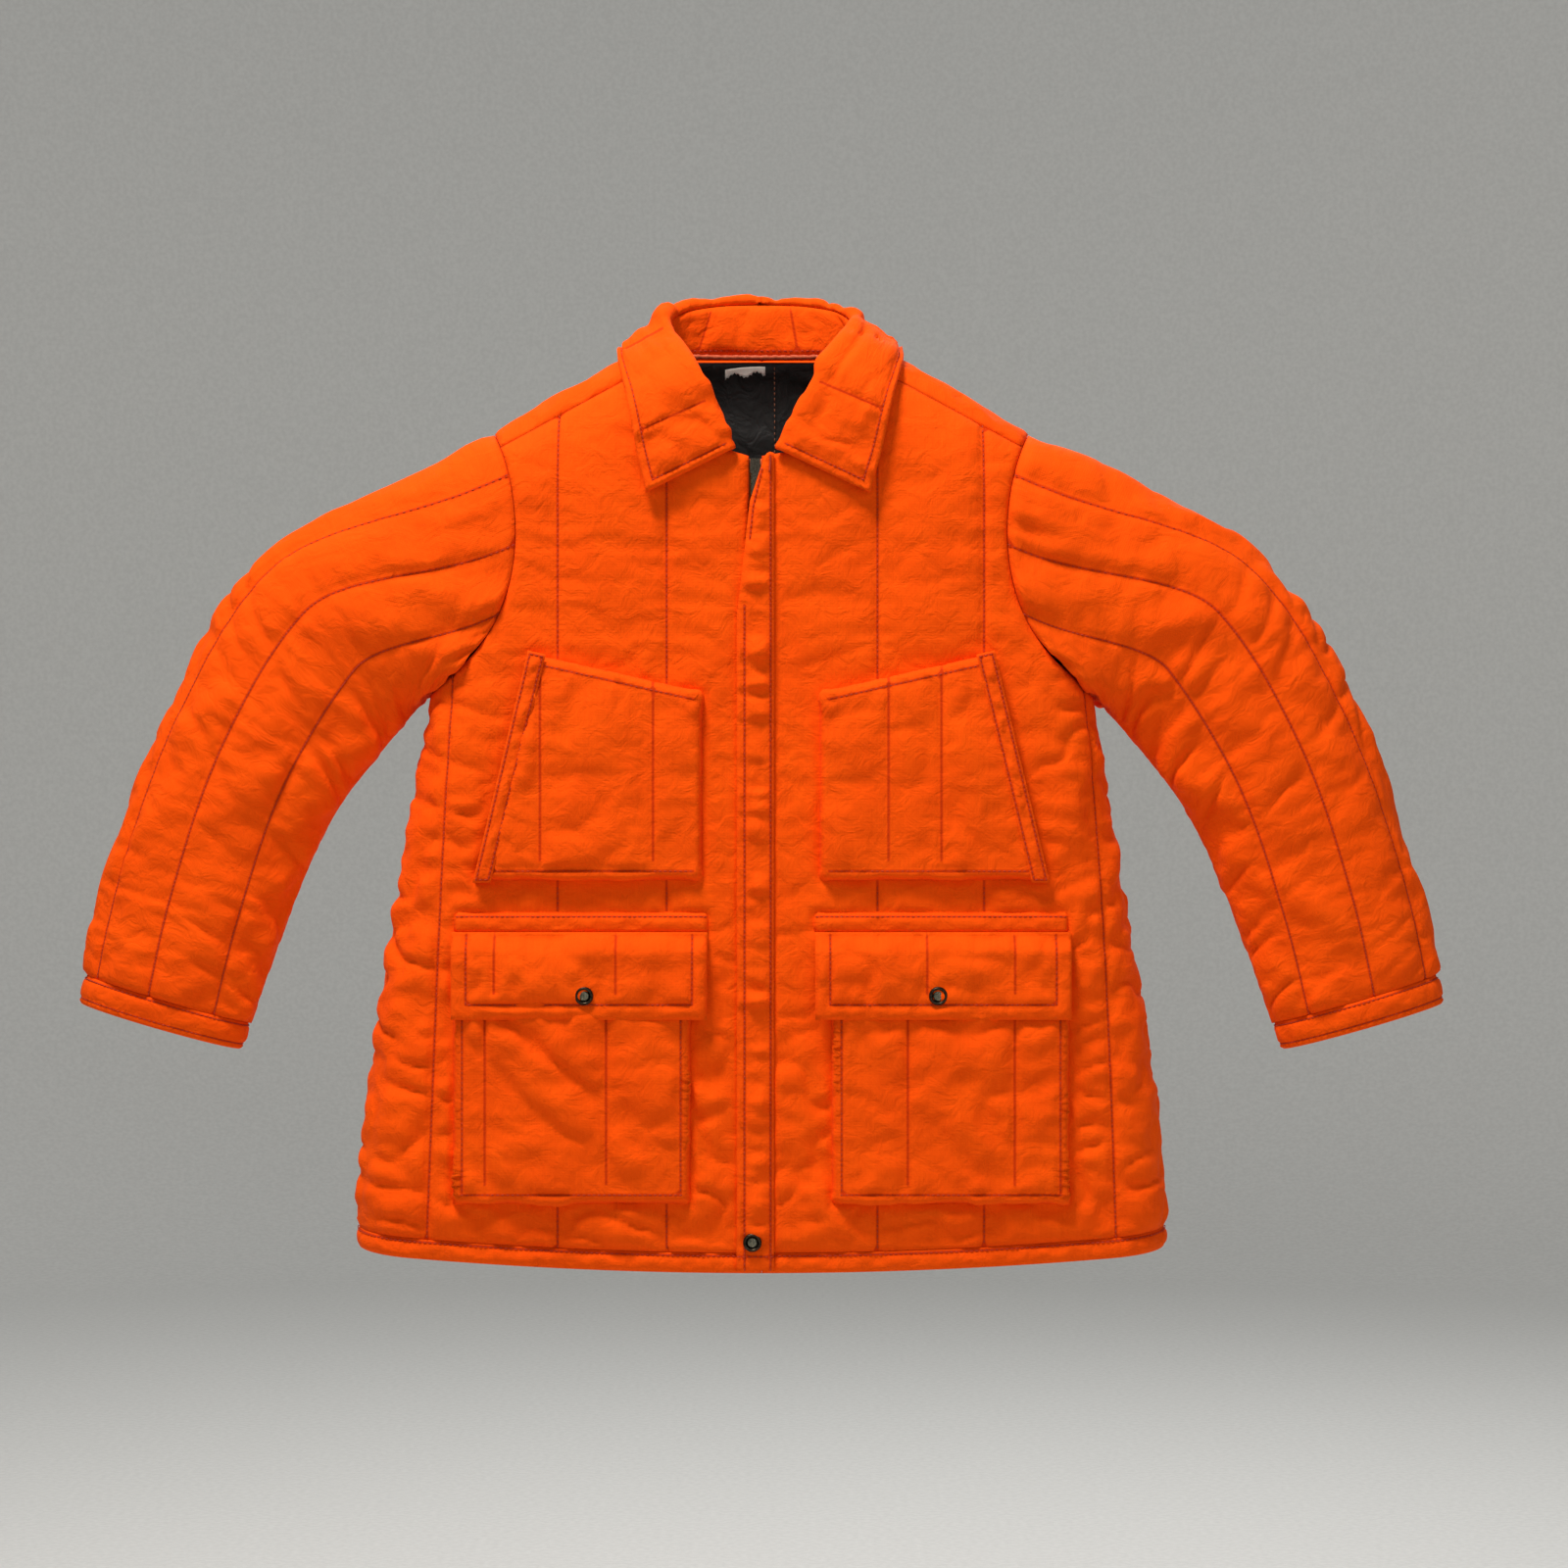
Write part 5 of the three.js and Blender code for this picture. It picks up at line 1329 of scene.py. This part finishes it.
class JACKET_OT_neck(bpy.types.Operator):
    """Adds the bound neck seam and the blank label inside the back of the neck"""

    bl_idname = "jacket.neck"
    bl_label = "Neck binding and label"

    def execute(self, context):
        turn = np.linspace(-math.pi / 3, math.pi / 3, 90)
        deep = float(depth_below(shoulder_line(0)))
        wave = 0.25 * ripple(turn * 40, turn * 0, 451)
        path = stack((NECK_HALF - 9.5) * np.sin(turn), (deep - 9.5) * np.cos(turn), 1 + wave)
        piping = tube("neck_binding", path, 1.75, sides=12, twist=0.12)
        piping.data.materials.append(material("piping"))
        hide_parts("neck_piping")
        ride_all([piping], "torso")

        top_fall = float(shoulder_line(0)) + 7.6
        frayed = [(x, 7.0 + 2.2 * math.sin(x * 0.33) + 0.9 * math.sin(x * 1.9))
                  for x in np.linspace(3, -32, 36)]
        outline = [(-32, 0), (3, 0), *frayed]

        def place(a, b):
            angle = angle_of_fall(top_fall + b - 5)
            points, normal, _ = frame_of(shoulders, a, angle, BEHIND)
            return points - normal * (LINING_DEPTH + 2.0)

        [made] = sew([{
            "name": "neck_label_ribbon", "outline": outline, "place": place, "toward": lambda p: -BEHIND(p),
            "thick": 0.4, "step": 1.6, "puff": 0.15, "roll": 0.1, "rim_pucker": 0.05, "material": "label",
            "slot": "label", "still": True, "crumple": lambda a, b: 0.4 * ripple(a / 7, b / 9, 455),
        }])
        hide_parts("neck_label")
        ride_all(made, "torso")
        return {"FINISHED"}


# --- the front opening -------------------------------------------------------------------------------------
def flat_front(y):
    """A piece that lies in the plane of the front at depth y."""
    return lambda a, b: stack(a, y, b)


class JACKET_OT_placket(bpy.types.Operator):
    """Sews the placket that covers the zip"""

    bl_idname = "jacket.placket"
    bl_label = "Placket"

    def execute(self, context):
        def puckers(a, b):
            pulled = 2.2 * ripple(b / 8.5, a / 90, 501) + 1.2 * ripple(b / 15 + a / 60, a / 60, 502)
            return pulled * ramp(-b, 100, 130)

        seam = {"path": [(7.8, -90), (7.8, -775)], "deep": 1.1, "wide": 1.6, "pucker": 0.9}
        dash = {"path": [(-13.9, -215), (-13.9, -775)], "deep": 1.0, "wide": 1.5, "pucker": 0.9}
        slant = {"path": [(1, -100), (-6.5, -132), (-9.5, -160)], "deep": 0.9, "wide": 1.5}
        hem = {"path": [(-21, HEM_CENTRE_Z + 12), (11, HEM_CENTRE_Z + 12)], "deep": 0.9, "wide": 1.5}
        [made] = sew([{
            "name": "placket_fly", "outline": PLACKET, "place": flat_front(PLACKET_FACE), "toward": FRONT,
            "thick": 4.5, "step": 3.0, "puff": 1.3, "crumple": puckers, "lines": [seam, dash, slant, hem],
            "seed": 510, "rim_pucker": 0.9, "surplus": 0.06, "limit": 4.0, "backing": 10.0,
        }])
        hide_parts("placket")
        # A worked slit near the top, its edges oversewn.
        slit = tube("placket_slit", [(7.4 + 0.3 * math.sin(t * 5), FACE - 6.0, -91 - 13 * t)
                                     for t in np.linspace(0, 1, 30)], 0.8, sides=8, twist=0.6)
        slit.data.materials.append(material("thread"))
        blend_all([*made, slit])
        return {"FINISHED"}


def tooth(sign, z):
    """One stamped zip tooth: a waisted block with a rounded nose toward the other side."""
    x0 = ZIP_X + sign * 3.6
    out = [(-3.3, 0.0), (-2.9, 0.55), (-2.0, 0.62), (-1.3, 0.42), (0, 0.75), (0.4, 0.0)]
    ring = out + [(x, -h) for x, h in reversed(out[1:-1])]
    points = [(x0 + sign * x, y, z + h) for y in (-46.6, -43.9) for x, h in ring]
    count = len(ring)
    faces = [tuple(range(count)), tuple(reversed(range(count, 2 * count)))]
    faces += [(k, k + count, (k + 1) % count + count, (k + 1) % count) for k in range(count)]
    if sign < 0:
        faces = [tuple(reversed(f)) for f in faces]
    return points, faces


class JACKET_OT_zip(bpy.types.Operator):
    """Lays the zip's tapes and teeth, and finishes its slider, pull and box"""

    bl_idname = "jacket.zip"
    bl_label = "Zip"

    def execute(self, context):
        top, bottom, pitch = -92, HEM_CENTRE_Z + 64, 2.0
        for side, sign in SIDES:
            near, far = ZIP_X + sign * 3.0, ZIP_X + sign * 15
            outline = [(near, bottom), (far, bottom), (far, top), (near, top)]
            [made] = sew([{
                "name": f"zip_tape_woven_{side}", "outline": outline, "place": flat_front(-43.7),
                "toward": FRONT,
                "thick": 0.8, "step": 4.0, "puff": 0.05, "roll": 0.1, "rim_pucker": 0.03, "material": "tape",
                "slot": "zip_tape", "still": True, "seed": 520 + sign, "backing": 8.0,
                "lines": [{"path": [(ZIP_X + sign * 9, top - 2), (ZIP_X + sign * 9, bottom)]}],
            }])
            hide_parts(f"zip_tape_{side}")
            points, faces = [], []
            for k in range(int((top - bottom - 3) / pitch)):
                new, around = tooth(sign, top - 2 - pitch * k - (pitch / 2 if sign > 0 else 0))
                faces += [tuple(i + len(points) for i in f) for f in around]
                points += new
            teeth = new_object(f"zip_teeth_{side}", points, faces)
            teeth.data.shade_flat()
            teeth.data.materials.append(material("teeth"))
            ride_all([*made, teeth], "torso")
        for name in ("zip_slider", "zip_pull", "zip_box", "zip_pin"):
            edge = refinish(name, "zinc").modifiers.new("tumbled_edges", "BEVEL")
            edge.width, edge.segments, edge.limit_method = 0.00018, 2, "ANGLE"
        return {"FINISHED"}


# --- pockets and flaps -------------------------------------------------------------------------------------
def signed_edges(points, outline, skip=()):
    """Distance inside each side of a convex outline, rounded together; skip leaves sides open."""
    outline = np.asarray(outline, float)
    turn = 1 if turning(outline) > 0 else -1
    total = np.zeros(len(points))
    for k, (a, b) in enumerate(zip(outline, np.roll(outline, -1, axis=0))):
        if k in skip:
            continue
        d = (b - a) / np.linalg.norm(b - a)
        inside = turn * (d[0] * (points[:, 1] - a[1]) - d[1] * (points[:, 0] - a[0]))
        total += np.exp(-np.maximum(inside, 0) / 2.2)
    return -2.2 * np.log(np.maximum(total, 1e-9))


def patch(outline, sign, skip=(), high=10.0, round_mm=7.5, cord=1.0):
    """A patch pocket's outer skin: up from the front round its closed sides, with a corded edge."""

    def place(a, b):
        points = np.stack([a, b], axis=1)
        inside = np.maximum(signed_edges(points, outline, skip), 0)
        rise = np.sin(np.minimum(inside / round_mm, 1) * np.pi / 2)
        corded = cord * np.exp(-(((inside - 5.0) / 2.2) ** 2))
        return stack(sign * a, POCKET_BACK - high * rise - corded, b)

    return place


class JACKET_OT_chest_pockets(bpy.types.Operator):
    """Sews the chest pockets, with a facing along each slanted opening"""

    bl_idname = "jacket.chest_pockets"
    bl_label = "Chest pockets"

    def execute(self, context):
        specs = []
        slope = (CHEST[2][1] - CHEST[1][1]) / (CHEST[2][0] - CHEST[1][0])
        for side, sign in SIDES:
            def crumple(a, b, sign=sign):
                edge = np.minimum(np.abs(a - 47), np.abs(b + 446))
                long = 1.6 * ripple((a + 0.35 * b) / 26, b / 110, 600 + sign)
                near = 1.6 * ripple(b / 15, a / 50, 604 + sign) * np.exp(-edge / 20)
                return long + near + 1.5 * (crease(a / 40, b / 48, 606 + sign) + 0.4)

            inner = inset(CHEST, 9.5)
            specs.append({
                "name": f"chest_pouch_{side}", "outline": CHEST, "place": patch(CHEST, sign, skip=(2,)),
                "toward": FRONT, "thick": 3.2, "puff": 1.5, "crumple": crumple, "seed": 610 + sign,
                "lines": [{"path": inner[[3, 0, 1, 2]], "deep": 1.3, "wide": 2.0, "pucker": 0.9}]
                + uprights((90, 184) if sign < 0 else (106, 150), -240, -427, deep=0.9, wide=2.2,
                           pucker=0.4, thread=False),
                "rim_pucker": 0.5, "limit": 5.0, "surplus": 0.035,
            })
            facing = [(CHEST[2][0] - FACING_WIDE, CHEST[2][1] - FACING_WIDE * slope), CHEST[2], CHEST[3],
                      (CHEST[3][0] - FACING_WIDE, CHEST[3][1])]
            line = inset(facing, 2.4)
            specs.append({
                "name": f"chest_facing_{side}", "outline": facing, "toward": FRONT, "thick": 1.4,
                "place": lambda a, b, sign=sign: stack(sign * a, POCKET_FACE - 1.9, b), "step": 2.6,
                "puff": 1.1,
                "crumple": lambda a, b, sign=sign: 1.6 * ripple(b / 8, a / 40, 620 + sign), "roll": 1.0,
                "lines": [{"path": line[[0, 1, 2, 3, 0]], "deep": 0.8, "wide": 1.3, "pucker": 0.6}],
                "seed": 630 + sign, "rim_pucker": 0.6, "limit": 3.0, "backing": 8.0,
            })
        made = sew(specs)
        for k, (side, sign) in enumerate(SIDES):
            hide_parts(f"chest_pocket_{side}")
            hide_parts(f"chest_pocket_facing_{side}")
            for piece in made[2 * k:2 * k + 2]:
                ride_all(piece, "torso")
        return {"FINISHED"}


class JACKET_OT_cargo_pockets(bpy.types.Operator):
    """Sews the cargo pockets and the bands above them"""

    bl_idname = "jacket.cargo_pockets"
    bl_label = "Cargo pockets"

    def execute(self, context):
        specs = []
        for side, sign in SIDES:
            def crumple(a, b, sign=sign):
                low = ramp(-b, 560, 700)
                slant = crease((a * sign + 0.9 * b) / 46, (b - 0.6 * a) / 60, 650 + sign) + 0.4
                foot = ripple(a / 15, b / 34, 654 + sign) * np.exp(-np.abs(b + 705) / 26)
                return (2.8 + 1.6 * low) * slant + 2.2 * foot + 1.1 * ripple(a / 21, b / 17, 656 + sign)

            marks = (129, 230) if sign < 0 else (122, 211)
            inner = inset(CARGO, 10.0)
            specs.append({
                "name": f"cargo_pouch_{side}", "outline": CARGO, "place": patch(CARGO, sign, skip=(1,)),
                "toward": FRONT, "thick": 3.2, "puff": 1.6, "crumple": crumple, "seed": 660 + sign,
                "covered": lambda a, b: np.minimum(POCKET_COVERED_Z - b,
                                                   np.hypot(a - SNAP_AT, b - SNAP_Z) - SNAP_CLEAR),
                "lines": [{"path": inner[[1, 0, 3, 2]], "deep": 1.3, "wide": 2.0, "pucker": 1.0}]
                + uprights(marks, -520, -697, deep=1.0, wide=2.2, pucker=0.6, thread=False),
                "rim_pucker": 0.5, "limit": 6.0, "surplus": 0.05,
            })
            specs.append({
                "name": f"band_{side}", "outline": BAND, "roll": 0.7,
                "place": patch(BAND, sign, skip=(3,), high=5.4, round_mm=4, cord=0),
                "toward": FRONT, "thick": 2.2, "step": 3.0, "puff": 1.0,
                "crumple": lambda a, b, sign=sign: 0.8 * ripple(a / 14, b / 30, 670 + sign),
                "lines": [{"path": [(44, -474.5), (256, -474.5)], "deep": 0.9, "wide": 1.4, "pucker": 0.6}],
                "seed": 680 + sign, "rim_pucker": 0.4, "limit": 3.0, "backing": 8.0, "surplus": 0.05,
            })
        made = sew(specs)
        for k, (side, sign) in enumerate(SIDES):
            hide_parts(f"cargo_pocket_{side}")
            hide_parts(f"flap_band_{side}")
            for piece in made[2 * k:2 * k + 2]:
                ride_all(piece, "torso")
        return {"FINISHED"}


def flap_depth(z):
    """The flap's outer skin hangs from the band and lies out over the pocket's mouth."""
    out = ramp(-np.asarray(z, float), -FLAP_TOP, -FLAP_SLOPE)
    return POCKET_BACK - 5.6 - 10.0 * out * out * (3 - 2 * out)


class JACKET_OT_flaps(bpy.types.Operator):
    """Sews the flaps over the cargo pockets"""

    bl_idname = "jacket.flaps"
    bl_label = "Flaps"

    def execute(self, context):
        specs = []
        outline = [(FLAP_INNER, FLAP_BOTTOM), (FLAP_INNER, FLAP_TOP), (FLAP_OUTER, FLAP_TOP),
                   (FLAP_OUTER, FLAP_BOTTOM)]
        for side, sign in SIDES:
            def crumple(a, b, sign=sign):
                return (1.2 * ripple((a + 0.5 * b) / 26, b / 60, 700 + sign)
                        + 1.3 * (crease(a / 36, b / 26, 702 + sign) + 0.4)
                        + 0.8 * ripple(a / 12, b / 14, 704 + sign))

            marks = (121, 222) if sign < 0 else (138, 211)
            inner, outer = FLAP_INNER + FLAP_STITCH_IN, FLAP_OUTER - FLAP_STITCH_IN
            edge = [(inner, FLAP_TOP - 2), (inner, FLAP_BOTTOM + FLAP_STITCH_IN),
                    (outer, FLAP_BOTTOM + FLAP_STITCH_IN), (outer, FLAP_TOP - 2)]
            specs.append({
                "name": f"flap_cloth_{side}", "outline": outline, "toward": FRONT, "thick": 4.6, "step": 3.4,
                "place": lambda a, b, sign=sign: stack(sign * a, flap_depth(b), b), "puff": 1.5,
                "crumple": crumple, "seed": 710 + sign, "rim_pucker": 0.7, "surplus": 0.04, "limit": 4.0,
                "butt": lambda a, b: np.exp(-(((FLAP_TOP - b) / 3) ** 2)), "butt_lift": 0.4,
                "lines": [{"path": edge, "deep": 1.3, "wide": 1.9, "pucker": 1.0}]
                + uprights(marks, FLAP_TOP - 1, FLAP_BOTTOM + 22, deep=0.8, wide=2.0, pucker=0.4,
                           thread=False),
            })
        for (side, sign), made in zip(SIDES, sew(specs)):
            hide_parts(f"flap_{side}")
            blend_all(made)
        return {"FINISHED"}


class JACKET_OT_snaps(bpy.types.Operator):
    """Sets the snap caps, and finishes the hidden halves of each snap"""

    bl_idname = "jacket.snaps"
    bl_label = "Snaps"

    def execute(self, context):
        ring = [(0, 0.5), (4.4, 0.45), (4.9, 0.9), (5.3, 2.1), (6.0, 2.7), (6.8, 2.6), (7.5, 1.9), (7.8, 1.0),
                (7.6, 0.2), (7.0, -0.6), (1.8, -0.8), (1.75, -2.6), (0, -2.6)]
        dome = [(0, 2.3), (1.6, 2.2), (3.2, 1.75), (4.3, 1.1), (4.6, 0.5), (4.5, 0.3), (0, 0.3)]
        places = [("placket_snap", "placket", -7.4, PLACKET_FACE, HEM_CENTRE_Z + 24)]
        places += [(f"flap_snap_{side}", f"flap_{side}", sign * SNAP_AT, FACE - 15.9, SNAP_Z)
                   for side, sign in SIDES]
        for name, body, x, face, z in places:
            rim = lathe(f"{name}_ring", ring, x, face - 0.4, z)
            rim.data.materials.append(material("gunmetal"))
            middle = lathe(f"{name}_face", dome, x, face - 0.4, z)
            middle.data.materials.append(material("burnished"))
            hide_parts(f"{name}_cap")
            for made in (rim, middle):
                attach(made, body)
            for part in ("socket", "stud", "post"):
                refinish(f"{name}_{part}", "gunmetal")
        return {"FINISHED"}


class JACKET_PT_panel(bpy.types.Panel):
    """Lists the jacket's settings and the steps that build it"""

    bl_idname = "JACKET_PT_panel"
    bl_label = "Jacket"
    bl_space_type = "VIEW_3D"
    bl_region_type = "UI"
    bl_category = "Jacket"

    def draw(self, context):
        for name in JacketSettings.__annotations__:
            self.layout.prop(context.scene.jacket, name)
        for step in STEPS:
            self.layout.operator(step.bl_idname)


STEPS = (
    JACKET_OT_stage,
    JACKET_OT_fronts,
    JACKET_OT_hems,
    JACKET_OT_back,
    JACKET_OT_linings,
    JACKET_OT_sleeves,
    JACKET_OT_collar,
    JACKET_OT_neck,
    JACKET_OT_placket,
    JACKET_OT_zip,
    JACKET_OT_chest_pockets,
    JACKET_OT_cargo_pockets,
    JACKET_OT_flaps,
    JACKET_OT_snaps,
)


def register():
    for made in (JacketSettings, *STEPS, JACKET_PT_panel):
        bpy.utils.register_class(made)
    bpy.types.Scene.jacket = bpy.props.PointerProperty(type=JacketSettings)


def unregister():
    del bpy.types.Scene.jacket
    for made in (JACKET_PT_panel, *reversed(STEPS), JacketSettings):
        bpy.utils.unregister_class(made)


def main():
    register()
    for step in STEPS:
        group, name = step.bl_idname.split(".")
        getattr(getattr(bpy.ops, group), name)()


if __name__ == "__main__":
    main()
